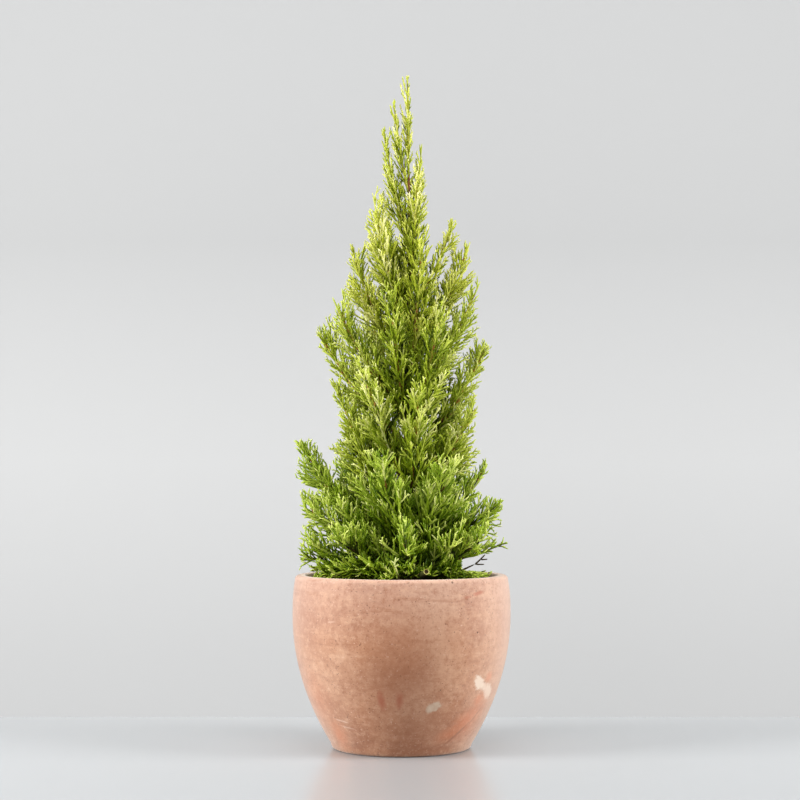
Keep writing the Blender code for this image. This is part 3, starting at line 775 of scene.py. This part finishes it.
class Heap:
    # rods gathered for one joined mesh

    def __init__(self):
        self.points, self.quads, self.tris, self.count = [], [], [], 0

    def add(self, points, quads, tris):
        self.points.append(points.reshape(-1, 3))
        self.quads.append(quads.reshape(-1, 4) + self.count)
        self.tris.append(tris.reshape(-1, 3) + self.count)
        self.count += points.shape[0] * points.shape[1]

    def triangles(self):
        return sum(len(q) * 2 for q in self.quads) + sum(len(t) for t in self.tris)

    def make(self, name, material, slot, nodes=()):
        piece = meshFromArrays(name, np.concatenate(self.points), np.concatenate(self.quads),
                               np.concatenate(self.tris))
        piece.data.materials.append(material)
        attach(piece, "root")
        if nodes:
            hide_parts(*nodes)
        print(name, self.triangles(), "triangles")


limbs = makeLimbs()


# bark: a ring extruded along the limb, then pushed in and out into strips and knots

def tubeAlong(bm, line, radii, sides):
    def ringFrame(k):
        way = Vector(line[min(k + 1, len(line) - 1)]) - Vector(line[max(k - 1, 0)])
        turn = Vector((0, 0, 1)).rotation_difference(way.normalized()).to_matrix().to_4x4()
        return Matrix.Translation(Vector(line[k])) @ turn @ Matrix.Scale(radii[k], 4)

    made = bmesh.ops.create_circle(bm, cap_ends=True, radius=1, segments=sides, matrix=ringFrame(0))
    verts = list(made["verts"])
    edges = list({edge for vert in verts for edge in vert.link_edges})
    everyVert = list(verts)
    for k in range(1, len(line)):
        made = bmesh.ops.extrude_edge_only(bm, edges=edges)["geom"]
        verts = [item for item in made if isinstance(item, bmesh.types.BMVert)]
        fresh = set(verts)
        edges = [item for item in made if isinstance(item, bmesh.types.BMEdge)
                 and item.verts[0] in fresh and item.verts[1] in fresh]
        bmesh.ops.transform(bm, matrix=ringFrame(k) @ ringFrame(k - 1).inverted(), verts=verts)
        everyVert += verts
    bmesh.ops.holes_fill(bm, edges=edges, sides=sides)
    return everyVert


def roughenBark(bm, depth, thickAt):
    bm.normal_update()
    for vert in bm.verts:
        out = vert.normal.copy()
        strip = noise.noise(Vector((out.x * 4, out.y * 4, vert.co.z * 24)) + vert.co * 30)
        fine = noise.noise(vert.co * 600)
        size = min(1, thickAt(vert.co.z) / 0.004)
        vert.co += out * depth * size * (strip + 0.5 * fine - 0.35)


def barkMaterial():
    p = trunkPlan
    s = Surface("reddishBark", p["barkMid"], 0.85, 0.25)
    strips = s.noise(60, 5, 0.6, stretch=(1, 1, 0.18), warp=0.3)
    colour = s.ramp(strips, (0.30, p["barkDark"]), (0.52, p["barkMid"]), (0.72, p["barkPale"]))
    # darker and greener just above the soil: damp, and painted shade under the foliage
    damp = s.ramp(s.axis("Z"), (0.215, 0.85), (0.275, 0.0))
    s.colour(s.mix(damp, colour, p["barkDampAndShade"]))
    s.bump(s.noise(500, 4, 0.6, stretch=(1, 1, 0.3)), 0.0003, 0.6)
    return s.material


def makeWood():
    p = trunkPlan
    bark = barkMaterial()
    bm = bmesh.new()
    shares = [(i / (p["rings"] - 1)) ** 1.1 for i in range(p["rings"])]
    heights = [p["foot"] + (p["top"] - p["foot"]) * share for share in shares]
    tubeAlong(bm, [trunkPoint(h) for h in heights], [trunkRadius(h) for h in heights], p["sides"])
    bmesh.ops.recalc_face_normals(bm, faces=bm.faces)
    roughenBark(bm, p["barkDepth"], trunkRadius)
    trunk = finishBmesh("trunkBark", bm)
    trunk.data.materials.append(bark)
    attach(trunk, "root")
    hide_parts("trunk")

    bm = bmesh.new()
    shares = np.linspace(0, 1, 40)
    for limb in limbs:
        if limb["bough"]:
            line = onLimb(limb, shares * limb["bough"])
            thick = trunkRadius(limb["start"][2]) * limbPlan["boughShare"]
            tubeAlong(bm, line, [thick + (limbPlan["boughTip"] - thick) * s for s in shares], 16)
    bmesh.ops.recalc_face_normals(bm, faces=bm.faces)
    roughenBark(bm, p["barkDepth"] * 0.7, lambda height: 0.003)
    boughs = finishBmesh("boughBark", bm)
    boughs.data.materials.append(bark)
    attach(boughs, "root")
    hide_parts(*[n for n in frame["nodes"] if n.startswith("bough_")])


makeWood()
print("trunk and boughs done", round(time.time() - started, 1), "s")


# foliage: twigs off each limb's stem, branchlets off each twig, shootlets off each branchlet

foliagePlan = {
    "seed": 20260,
    "goldenTurn": math.radians(137.5),
    "twigStep": 0.0042,  # a twig for each of these lengths of the limb
    "twigAngle": math.radians(31),
    "twigLift": 0.28,  # how much the twigs turn up
    "outerGrowth": 0.30,
    "twigRadius": 0.00100,
    "scaly": 0.12,  # how far the scales stand out, as a share of the radius
    "skirtTop": 0.26,  # limbs that end below this are the skirt
    "shares": (0.36, 0.48, 0.62, 0.8, 1.0),  # of its length, that each twig is tried at
    # painted light and shade: the tints that the outermost tips are pulled to
    "edgeTints": (0.70, 0.45),  # low down and at the top
    "luck": (0.04, 0.02),  # how far the tints vary from twig to twig, and from limb to limb
    "bareShare": (0.08, 0.50),  # how much of a twig is bare wood, from the top down to the rim
    "coarse": ((0.30, 0.48, 0.60, 0.68), (1.26, 1.0, 0.98, 0.86)),  # heights, shoots' coarseness
    # from, to and step up the trunk, how far out they lean, and how long they are
    "trunkSprays": [(0.22, 0.66, 0.0042, 0.58, 0.062), (0.184, 0.212, 0.0014, 1.15, 0.066),
                    (0.190, 0.226, 0.0008, 0.62, 0.105), (0.185, 0.197, 0.0006, 1.38, 0.100)],
    "freeBelow": 0.22,  # sprays that start lower aren't held to their mass's space
    # low twigs that reach out over the soil to the rim: how many, how far out, how high
    "rimTwigs": 60,
    "rimReach": (0.078, 0.103),
    "rimHeight": (0.197, 0.210),
    # in mm: spots that the photo shows full and that only a twig of their own reaches
    "thinSpots": [
        (86, -10, 336), (83, 0, 328), (-81, 10, 345), (-3, 0, 722), (0, 0, 730), (71, -10, 458),
        (65, -30, 448), (58, -20, 439), (63, 10, 452), (-81, -20, 484), (-88, 0, 486), (-66, -10, 527),
        (-60, -30, 519), (47, -20, 546), (65, -10, 583), (58, 0, 573), (29, -10, 614), (-35, -30, 546),
        (-9, -30, 602), (81, 10, 347), (76, -10, 337), (-79, 0, 346), (-73, -20, 354), (-75, 20, 340),
        (-118, -10, 317), (-113, 10, 305), (-107, -20, 296), (-110, 20, 312), (36, -60, 262),
        (28, -70, 251), (-122, 0, 311), (-119, -20, 300), (-112, 0, 290), (-104, 10, 284),
        (84, -10, 352), (88, 0, 342), (-22, -85, 238), (16, -85, 242), (-48, -70, 244), (83, 0, 328),
        (79, -10, 320), (59, 0, 440), (66, 0, 470), (-55, 0, 494.5), (-86, 0, 477), (-33, 0, 530),
        (47, 0, 539), (14, 0, 679), (27, 0, 636), (87, 0, 472.6), (110, -20, 256), (108, -30, 246),
        (112, 0, 263), (104, -40, 238), (-108, -20, 256), (-112, 0, 248), (-106, 10, 240),
        (16, -90, 233), (27, -90, 233), (29, -10, 600), (19, 0, 664), (-61, 0, 538), (-40, -10, 605.6),
        (-8, 0, 690), (-10, 0, 700), (6, 0, 725), (-12, 10, 712), (66, 10, 572), (60, 10, 583),
        (36, -20, 545), (40, -20, 533), (81, 0, 450), (89, 0, 462), (86, 10, 441), (79, 20, 433),
        (61, 0, 420), (58, -10, 428), (66, 10, 437), (-83, 0, 497), (-75, 10, 492), (-55, -20, 508),
        (-33, -30, 530), (-42, 0, 581), (-40, -20, 573), (-3, 0, 722), (1, -10, 645)
    ],
    # from the shade inside to the bright tips, green low down and golden at the top
    "greens": [(28, 50, 2), (48, 76, 3), (72, 106, 8), (100, 136, 16), (134, 166, 28),
               (162, 190, 52), (195, 213, 88), (217, 228, 120)],
    "golds": [(56, 70, 2), (88, 102, 5), (122, 136, 10), (152, 166, 24), (183, 191, 50),
              (208, 212, 86), (224, 222, 128), (241, 237, 170)],
    # the three zones: how high the tips of the lower two reach, and how golden each zone is
    "zones": ["low", "middle", "top"],
    "zoneTops": (0.38, 0.55),
    "goldShares": (0.24, 0.60, 0.9),
    # old bark, young bark, this year's stems, green stems low down, darkened as painted shade, and the
    # bare twig
    "stemTints": [(98, 70, 34), (160, 112, 52), (176, 172, 60), (58, 66, 18), (92, 74, 50)],
    "stemCuts": (0, 0.34, 0.68, 1.0),  # where a stem's age changes
    "stemAges": (0.60, 0.70),  # limbs that end below these start with the oldest and second bark
    "greenStems": 0.34,  # limbs that end below this have green stems
    # the bare twig's pieces: where each starts and ends, and how thick it is there
    "bareTwig": [((0.030, 0.012, 0.189), (0.0854, 0.004, 0.2110), 0.0014, 0.0010),
                 ((0.0854, 0.004, 0.2110), (0.0968, 0.003, 0.2222), 0.0010, 0.0008),
                 ((0.0852, 0.004, 0.2108), (0.0956, 0.001, 0.2107), 0.0009, 0.0007),
                 ((0.0924, 0.003, 0.2160), (0.0992, 0.001, 0.2167), 0.0009, 0.0007)],
}

sidePlans = {
    # step, angle and radius as above; fan is how far they leave one plane, in radians; lift is how
    # much they turn up, and lowLift how much more low down; length is the least, what low ones have
    # more, and the share of the parent's length; spire draws it in towards the parent's tip
    "branchlet": {"step": 0.0037, "angle": math.radians(36), "radius": 0.00082, "fan": 0.75,
                  "lift": 0.10, "lowLift": 0.45, "firstAt": 0.08, "most": 99, "lowMost": 99,
                  "length": (0.0030, 0.0026, 0.64), "spire": 0.28, "slimmer": 0.40},
    "shootlet": {"step": 0.0048, "angle": math.radians(32), "radius": 0.00076, "fan": 0.45,
                 "lift": 0.05, "lowLift": 0.225, "firstAt": 0.24, "most": 3, "lowMost": 2,
                 "length": (0.0026, 0.0018, 0.40), "spire": 0, "slimmer": 0.30},
}


def ease(value, start, span):
    # 0 at start and 1 a span further on; with a span below 0 it falls instead
    return np.clip((value - start) / span, 0, 1)


def lowAt(height):
    # 1 low down, where the shoots are long and straight and turn up, 0 from the middle up
    return ease(height, 0.40, -0.14)


def slimAt(height):
    # 0 low down, 1 in the thin leader, where twigs are long and their side shoots short
    return ease(height, 0.63, 0.07)


def coarseAt(height):
    return np.interp(height, *foliagePlan["coarse"])


def crownReach(points):
    # how far out the crown comes at each point's height and heading
    offset = points - np.array((trunkPlan["x"], 0, 0))
    distance = np.maximum(np.hypot(offset[:, 0], offset[:, 1]), 1e-6)
    left, right = (np.interp(points[:, 2], crown["height"], crown[side]) for side in ("left", "right"))
    rightness = 0.5 + 0.5 * offset[:, 0] / distance
    return distance, left + (right - left) * rightness


def inCrown(points, spare=1.0):
    distance, reach = crownReach(points)
    inside = (distance < reach * spare) | (points[:, 2] < crown["height"][0])
    right, under, over = crown["bareSide"]
    bare = (points[:, 0] > right) & (points[:, 2] > under) & (points[:, 2] < over)
    return inside & ~bare & (points[:, 2] < crown["height"][-1])


def clearOfPot(points, gap=0.0010):
    radius = np.hypot(points[:, 0], points[:, 1])
    innerRim = potPlan["rim"] - potPlan["wall"]
    overWall = (radius > innerRim - gap) & (points[:, 2] < potPlan["height"] + gap)
    return (points[:, 2] > soilPlan["top"] + gap) & (radius < potPlan["widest"] - gap) & ~overWall


def limbShares(points):
    # (n, limbs): each point's distance to each limb's line, over that limb's spread
    out = np.empty((len(points), len(limbs)))
    for k, limb in enumerate(limbs):
        a, b = limb["line"][:-1], limb["line"][1:]
        ab = b - a
        t = np.einsum("nsj,sj->ns", points[:, None] - a[None], ab) / (ab ** 2).sum(1)
        near = a[None] + ab[None] * np.clip(t, 0, 1)[..., None]
        out[:, k] = np.linalg.norm(points[:, None] - near, axis=2).min(1) / limb["spread"]
    return out


def inOwnSpace(points, owner, slack=1.25):
    shares = limbShares(points)
    rows = np.arange(len(points))
    own = shares[rows, owner]
    shares[rows, owner] = 9
    return own < shares.min(1) * slack + 0.06


def bendUp(root, way, turned, length):
    # the middle and the end of shoots that set out one way and turn halfway
    middle = root + way * length[:, None] * 0.5
    return middle, middle + turned * length[:, None] * 0.5


def twigsOffLimb(limb, dice):
    p = foliagePlan
    first = limb["bough"] * 0.4
    last = 1 - 0.10 * limb["spread"] / limb["length"]
    low, slim = lowAt(limb["tip"][2]), slimAt(limb["tip"][2])
    count = max(6, round((last - first) * limb["length"] / p["twigStep"] * (1 - 0.1 * slim)))
    beside = abs(unit(limb["tip"] - limb["start"])[0])
    lift = np.full(count, p["twigLift"] * (1 + 0.9 * low * (1 - beside)))
    if limb["tip"][2] < p["skirtTop"]:
        # the skirt lies out over the rim at the sides, with upright twigs between the flat ones
        upright = 1.9 + 2.2 * (1 - beside)
        lift *= dice.choice([-0.1, upright], count, p=[0.6 * beside, 1 - 0.6 * beside])
    share = (np.arange(count) + 0.55) / count
    t = first + (last - first) * share
    root = onLimb(limb, t)
    along = unit(curveSlope(limb["start"], limb["bend"], limb["tip"], t[:, None]))
    turn = dice.uniform(0, math.tau) + p["goldenTurn"] * np.arange(count)
    sideways, _ = crossAxes(along, turn)
    angle = p["twigAngle"] * (1 - 0.4 * slim) * dice.uniform(0.7, 1.45, count)[:, None]
    way = unit(along * np.cos(angle) + sideways * np.sin(angle) + lift[:, None] * skyward)
    # a mass is fullest from a third of the way out and draws in to its tip
    swell = 0.62 + 0.38 * np.minimum(1, share / 0.3)
    reach = limb["spread"] * swell * (1 - 0.72 * share ** 1.4)
    # twigs on the side away from the trunk grow longer
    outward = unit((root - np.array((trunkPlan["x"], 0, 0))) * np.array((1, 1, 0)))
    facing = (sideways * outward).sum(1)
    return root, way, reach * dice.uniform(0.90, 1.60, count) * (1 + p["outerGrowth"] * facing)


def spraysOffTrunk(dice, low, high, step, lean, long):
    # short sprays straight off the trunk, where it shows between the plumes
    heights = np.arange(low, high, step)
    turn = foliagePlan["goldenTurn"] * np.arange(len(heights))
    outward = np.stack([np.cos(turn), np.sin(turn), np.zeros(len(turn))], 1)
    root = np.array([trunkPoint(h) for h in heights])
    way = unit(outward * math.sin(lean) + math.cos(lean) * skyward)
    length = (long - 0.10 * (heights - low)) * dice.uniform(0.8, 1.2, len(heights))
    return root, unit(way + dice.normal(0, 0.16, way.shape)), length


def spotsToReach(dice):
    p = foliagePlan
    count = p["rimTwigs"]
    turn = p["goldenTurn"] * np.arange(count)
    out = dice.uniform(*p["rimReach"], count)
    height = dice.uniform(*p["rimHeight"], count)
    rimSpots = np.stack([out * np.cos(turn), out * np.sin(turn), height], 1)
    return np.concatenate([rimSpots, np.array(p["thinSpots"]) / 1000])


def growTwigs(dice):
    p = foliagePlan
    rows = []

    def note(root, way, length, owner, free):
        # free twigs may leave their mass's own space
        rows.append((root, way, length, np.full(len(root), owner), np.full(len(root), free)))

    for k, limb in enumerate(limbs):
        note(*twigsOffLimb(limb, dice), k, False)
    for spray in p["trunkSprays"]:
        root, way, length = spraysOffTrunk(dice, *spray)
        owner = limbShares(root + way * length[:, None] * 0.7).argmin(1)
        note(root, way, length, owner, spray[0] < p["freeBelow"])
    spots = spotsToReach(dice)
    for spot in spots:
        # from the nearest limb, and rooted so far down it that the twig leans forward
        nearest = int(limbShares(spot[None])[0].argmin())
        limb = limbs[nearest]
        away = np.linalg.norm(limb["line"] - spot, axis=1)
        down = away.min() * 1.1 / limb["length"] * (len(away) - 1)
        root = limb["line"][max(1, int(away.argmin() - down))]
        line = (spot - root)[None]
        note(root[None], unit(line), np.linalg.norm(line, axis=1), nearest, True)
    # each stem also ends in a twig of its own
    for k, limb in enumerate(limbs):
        root = onLimb(limb, [1 - 0.35 * limb["spread"] / limb["length"]])
        line = limb["tip"] - root
        note(root, unit(line), np.linalg.norm(line, axis=1), k, True)
    root, way, length, owner, free = (np.concatenate(column) for column in zip(*rows))

    # twigs off a limb or the trunk turn up halfway, and those to a spot go straight
    turned = unit(way + p["twigLift"] * skyward * ease(root[:, 2:3], 0.20, 0.05))
    fromEnd = len(root) - np.arange(len(root))
    straight = fromEnd <= len(limbs) + len(spots)
    turned[straight] = way[straight]
    # of the limbs' own ends only the skirt's turn up, at its front and back
    isTip = fromEnd <= len(limbs)
    facing = 1 - np.abs(way[isTip][:, :1])
    low = (root[isTip][:, 2:3] < 0.27) * 1.0
    turned[isTip] = unit(way[isTip] + 1.6 * skyward * facing * low)
    # a twig gets the greatest share of its length that stays in its mass's space, or is left out
    best = np.zeros(len(root))
    upright = isTip & (turned[:, 2] > 0.9)
    for share in p["shares"]:
        middle, end = bendUp(root, way, turned, length * share)
        good = inCrown(end) & clearOfPot(middle) & clearOfPot(end) & (inOwnSpace(end, owner) | free)
        best = np.where(good | upright, share, best)
    keep = best > 0
    root, way, turned, owner = root[keep], way[keep], turned[keep], owner[keep]
    length = (length * best)[keep]
    middle, end = bendUp(root, way, turned, length)
    return dict(a=root, b=middle, c=end, length=length, owner=owner,
                turn=dice.uniform(0, math.tau, len(root)), at=np.full(len(root), 0.6))


def growSide(parent, kind, dice):
    # side shoots in turn on both sides of each parent, about the plane that the parent's turn sets
    p = sidePlans[kind]
    firstAt = p["firstAt"]
    steps = p["step"] * coarseAt(parent["c"][:, 2])
    most = np.where(lowAt(parent["c"][:, 2]) > 0.4, p["lowMost"], p["most"])
    counts = np.minimum((parent["length"] * (1 - firstAt) / steps).astype(int), most)
    index = np.repeat(np.arange(len(counts)), counts)
    order = np.arange(len(index)) - np.repeat(np.cumsum(counts) - counts, counts)
    t = firstAt + (1 - firstAt) * (order + dice.uniform(0.3, 0.8, len(index))) / counts[index]
    a, b, c = (parent[key][index] for key in "abc")
    root = curvePoint(a, b, c, t[:, None])
    along = unit(curveSlope(a, b, c, t[:, None]))
    height = root[:, 2]
    side = np.where(order % 2 == 0, 0.0, math.pi) + dice.normal(0, p["fan"], len(index))
    sideways, _ = crossAxes(along, parent["turn"][index] + side)
    # wide angles low down, close ones in the leader
    bend = p["angle"] * (1.08 - 0.38 * ease(height, 0.25, 0.4))
    bend = (bend * dice.uniform(0.75, 1.25, len(index)))[:, None]
    # the low shoots turn up towards the light, but for those that lie out over the rim
    beside = np.abs(root[:, 0] - trunkPlan["x"]) / crownReach(root)[1]
    upward = p["lift"] + p["lowLift"] * lowAt(height) * np.clip(1.15 - 1.1 * beside, 0, 1)
    upward = upward[:, None] * skyward
    way = unit(along * np.cos(bend) + sideways * np.sin(bend) + upward)
    turned = unit(way + along * 0.08 + upward * 0.3)
    least, more, share = p["length"]
    length = least + more * lowAt(height)
    length += share * parent["length"][index] * (1 - t) * (1 - p["spire"] + p["spire"] * t)
    length *= 1 - p["slimmer"] * slimAt(height)
    length *= dice.uniform(0.75, 1.25, len(index))
    middle, end = bendUp(root, way, turned, length)
    keep = inCrown(end, 1.02) & clearOfPot(end) & clearOfPot(middle)
    made = dict(a=root, b=middle, c=end, length=length, parent=index, at=t,
                owner=parent["owner"][index],
                turn=parent["turn"][index] + dice.normal(0, 0.3, len(index)))
    return {key: value[keep] for key, value in made.items()}


def tintOf(shoots, luck, dice):
    # brighter and more golden upwards, outwards and towards the tips, with one chance per spray: the
    # tips' and top's own young golden growth, and painted shade on the shoots deeper inside
    p = foliagePlan
    distance, reach = crownReach(shoots["c"])
    height = shoots["c"][:, 2]
    low, slim = lowAt(height), slimAt(height)
    outer = np.maximum(np.clip(distance / reach, 0, 1.1), 0.7 * slim)
    risen = ease(height, 0.19, 0.55)
    score = 0.20 + 0.10 * risen + 0.05 * low + 0.30 * outer ** 1.6 + (0.44 - 0.10 * low) * shoots["at"]
    score += luck
    score += dice.normal(0, 0.11, len(luck)) * (1 + 0.5 * low)
    # painted shade: a little darker down the middle, front and back; the leader a little darker too
    beside = np.abs(shoots["c"][:, 0] - trunkPlan["x"]) / reach
    middle = np.clip(1 - 2 * beside, 0, 1) * ease(height, 0.66, -0.05)
    score -= 0.16 * middle * ease(height, 0.28, 0.05)
    score -= 0.07 * slim
    # greener again at the outermost tips on both sides, all pulled to one tint: painted shade where
    # the side lamps light them most, and painted light where they stand dark against the bright
    # backdrop
    edge = 0.6 * ease(beside, 0.62, 0.3)
    edgeTint = p["edgeTints"][0] * (1 - risen) + p["edgeTints"][1] * risen
    score += (edgeTint - score) * edge
    # painted shade: darkest just above the soil, under the crown, where the older foliage is darker
    # too
    score -= 0.06 * ease(height, 0.285, -0.07) * (1 - edge)
    score -= 0.13 * ease(height, 0.232, -0.02) * (1 - edge)
    score = np.minimum(score, 0.99 - 0.13 * low)
    return np.clip((score * len(p["greens"])).astype(int), 0, len(p["greens"]) - 1)


def zoneOf(limb):
    return int(np.searchsorted(foliagePlan["zoneTops"], limb["tip"][2], side="right"))


def foliageNode(limb):
    return "foliage_" + "".join("_" + c.lower() if c.isupper() else c for c in limb["name"])


def splitCurve(shoots, at):
    # each shoot's curve cut in two at a share of its length
    s = at[:, None]
    a, b, c = shoots["a"], shoots["b"], shoots["c"]
    cut = curvePoint(a, b, c, s)
    low = dict(shoots, b=a * (1 - s) + b * s, c=cut, length=shoots["length"] * at)
    high = dict(shoots, a=cut, b=b * (1 - s) + c * s, length=shoots["length"] * (1 - at))
    return low, high


def makeFoliage():
    p = foliagePlan
    dice = np.random.default_rng(p["seed"])
    twigs = growTwigs(dice)
    branchlets = growSide(twigs, "branchlet", dice)
    shootlets = growSide(branchlets, "shootlet", dice)
    for name, shoots in (("twigs", twigs), ("branchlets", branchlets), ("shootlets", shootlets)):
        print(name, len(shoots["a"]))

    lastTint = len(p["greens"]) - 1
    twigLuck, limbLuck = p["luck"]
    luck = dice.normal(0, twigLuck, len(twigs["a"]))
    luck += dice.normal(0, limbLuck, len(limbs))[twigs["owner"]]
    twigTint = tintOf(twigs, luck, dice)
    branchletTint = tintOf(branchlets, luck[branchlets["parent"]], dice)
    brighter = dice.integers(0, 2, len(shootlets["a"]))
    shootletTint = np.clip(branchletTint[shootlets["parent"]] + brighter, 0, lastTint)
    limbZone = np.array([zoneOf(limb) for limb in limbs])
    heaps = {(zone, tint): Heap() for zone in range(3) for tint in range(lastTint + 1)}

    def sow(shoots, tints, foot, tip, rings, sides, scaly):
        zone = limbZone[shoots["owner"]]
        thick = foot * np.clip(shoots["length"] / 0.010, 0.85, 1.05) * coarseAt(shoots["c"][:, 2])
        for key, heap in heaps.items():
            pick = (zone == key[0]) & (tints == key[1])
            if pick.any():
                heap.add(*rods(*(shoots[k][pick] for k in "abc"), thick[pick], thick[pick] * tip,
                               rings, sides, shoots["turn"][pick], scaly))

    least, most = p["bareShare"]
    bareShare = np.clip(most - 0.9 * (twigs["c"][:, 2] - 0.2), least, most)
    bareShare *= dice.uniform(0.4, 1.1, len(bareShare))
    bare, green = splitCurve(twigs, bareShare)
    sow(green, twigTint, p["twigRadius"], 0.8, 6, 4, p["scaly"])
    sow(branchlets, branchletTint, sidePlans["branchlet"]["radius"], 0.8, 4, 4, p["scaly"])
    sow(shootlets, shootletTint, sidePlans["shootlet"]["radius"], 0.8, 3, 3, 0)

    # a twig is bare wood near its root, brown low down and golden towards the top
    wood = [Heap() for _ in p["stemTints"]]
    age = np.clip((0.60 - bare["c"][:, 2]) / 0.4 + dice.normal(0, 0.2, len(bare["a"])), 0, 0.999)
    kind = np.where(age > 0.7, 0, np.where(age > 0.25, 1, 2))
    # low down most bare wood takes the dark green stems, darkened as painted shade
    kind = np.where(dice.random(len(kind)) < 0.9 * lowAt(bare["a"][:, 2]), 3, kind)
    for k, heap in enumerate(wood[:4]):
        pick = kind == k
        thick = np.full(pick.sum(), p["twigRadius"] * 1.1)
        heap.add(*rods(*(bare[key][pick] for key in "abc"), thick, thick * 0.95, 3, 4,
                       bare["turn"][pick]))

    # stems: the limb's own line beyond its bough, in three ages
    for limb in limbs:
        first = limb["bough"] * 0.98
        oldest = np.searchsorted(p["stemAges"], limb["tip"][2], side="right")
        last = 1 - 0.33 * limb["spread"] / limb["length"]
        cuts = [first + (last - first) * share for share in p["stemCuts"]]
        for k in range(3):
            t0, t1 = cuts[k], cuts[k + 1] + 0.005
            ends = onLimb(limb, [t0, t1])
            slope = curveSlope(limb["start"], limb["bend"], limb["tip"], t0)
            middle = ends[0] + slope * (t1 - t0)
            shrink = limbPlan["stemTip"] - limbPlan["stemRadius"]
            size = limbPlan["stemRadius"] + shrink * (np.array([t0, t1]) - first) / (1 - first)
            heap = wood[3 if limb["tip"][2] < p["greenStems"] else max(k, oldest)]
            heap.add(*rods(ends[:1], middle[None], ends[1:], size[:1], size[1:], 10, 8, np.zeros(1)))

    for start, end, foot, tip in p["bareTwig"]:
        start, end = np.array([start]), np.array([end])
        middle = (start + end) / 2 - np.array((0, 0, 0.05)) * np.linalg.norm(end - start)
        foot, tip = np.array([foot]), np.array([tip])
        wood[4].add(*rods(start, middle, end, foot, tip, 8, 7, np.zeros(1)))

    total = 0
    for zone, name in enumerate(p["zones"]):
        nodes = [foliageNode(limb) for limb in limbs if zoneOf(limb) == zone]
        share = p["goldShares"][zone]
        for tint in range(lastTint + 1):
            heap = heaps[zone, tint]
            if not heap.count:
                continue
            green, gold = fromPhoto(*p["greens"][tint]), fromPhoto(*p["golds"][tint])
            colour = tuple(g + (y - g) * share for g, y in zip(green, gold))
            surface = Surface(f"{name}Green{tint}", colour, 0.45, 0.12 + 0.06 * tint)
            heap.make(f"{name}Sprays{tint}", surface.material, f"foliage_{name}", nodes)
            nodes = []
            total += heap.triangles()
    for k, heap in enumerate(wood):
        surface = Surface(f"stemTint{k}", fromPhoto(*p["stemTints"][k]), 0.6, 0.25)
        heap.make(f"stems{k}", surface.material, "bark")
        total += heap.triangles()
    print("foliage triangles", total)


makeFoliage()
print("foliage done", round(time.time() - started, 1), "s")


# low down at the front: the pale cut end of a twig, and a young pale sprig

frontPlan = {
    "cutRoot": (0.0115, -0.0050, 0.1905),
    "cutEnd": (0.0272, -0.1120, 0.2080),
    "cutRadius": 0.0032,
    "cutRing": 0.0010,
    "cutDepth": 0.0016,
    "cutBark": fromPhoto(64, 66, 26),
    "cutPale": fromPhoto(176, 172, 98),
    # dark middle of the cut, darkened as painted shade in its hollow
    "cutDark": fromPhoto(66, 50, 30),
    "sprigPale": fromPhoto(206, 214, 132),
    # the sprig's shoots: start, end
    "sprig": [((-0.0020, -0.050, 0.1950), (-0.0050, -0.108, 0.2080)),
              ((-0.0050, -0.108, 0.2080), (-0.0078, -0.114, 0.2150)),
              ((-0.0078, -0.114, 0.2150), (-0.0062, -0.115, 0.2240)),
              ((-0.0072, -0.114, 0.2170), (-0.0108, -0.115, 0.2195)),
              ((-0.0066, -0.114, 0.2190), (-0.0030, -0.115, 0.2225)),
              ((-0.0068, -0.114, 0.2135), (-0.0030, -0.114, 0.2160))],
    "sprigRadius": 0.00085,
}


def makeCutTwig():
    p = frontPlan
    root, end = Vector(p["cutRoot"]), Vector(p["cutEnd"])
    turn = (end - root).to_track_quat("Z", "Y").to_matrix().to_4x4()
    bm = bmesh.new()
    bmesh.ops.create_cone(bm, cap_ends=True, segments=20, radius1=p["cutRadius"] * 1.1,
                          radius2=p["cutRadius"], depth=(end - root).length)
    bm.normal_update()
    cap = [face for face in bm.faces if face.normal.z > 0.9]
    ring = bmesh.ops.inset_region(bm, faces=cap, thickness=p["cutRing"])["faces"]
    bmesh.ops.translate(bm, vec=(0, 0, -p["cutDepth"]), verts=cap[0].verts)
    for face in ring:
        face.material_index = 1
    # the sunken middle of the cut takes the dark colour: painted shade in the hollow
    cap[0].material_index = 2
    bmesh.ops.transform(bm, matrix=Matrix.Translation((root + end) / 2) @ turn, verts=bm.verts)
    cut = finishBmesh("cutTwig", bm, smooth=False)
    for name in ("cutBark", "cutPale", "cutDark"):
        cut.data.materials.append(Surface(name + "Wood", p[name], 0.7, 0.25).material)
    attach(cut, "root")


def makeSprig():
    p = frontPlan
    heap = Heap()
    starts, ends = (np.array([pair[k] for pair in p["sprig"]]) for k in (0, 1))
    count = len(starts)
    foot = np.full(count, p["sprigRadius"])
    heap.add(*rods(starts, (starts + ends) / 2, ends, foot, foot * 0.8, 6, 6, np.zeros(count), 0.15))
    surface = Surface("paleSprigGreen", p["sprigPale"], 0.5, 0.3)
    heap.make("paleSprig", surface.material, "foliage_low")


makeCutTwig()
makeSprig()
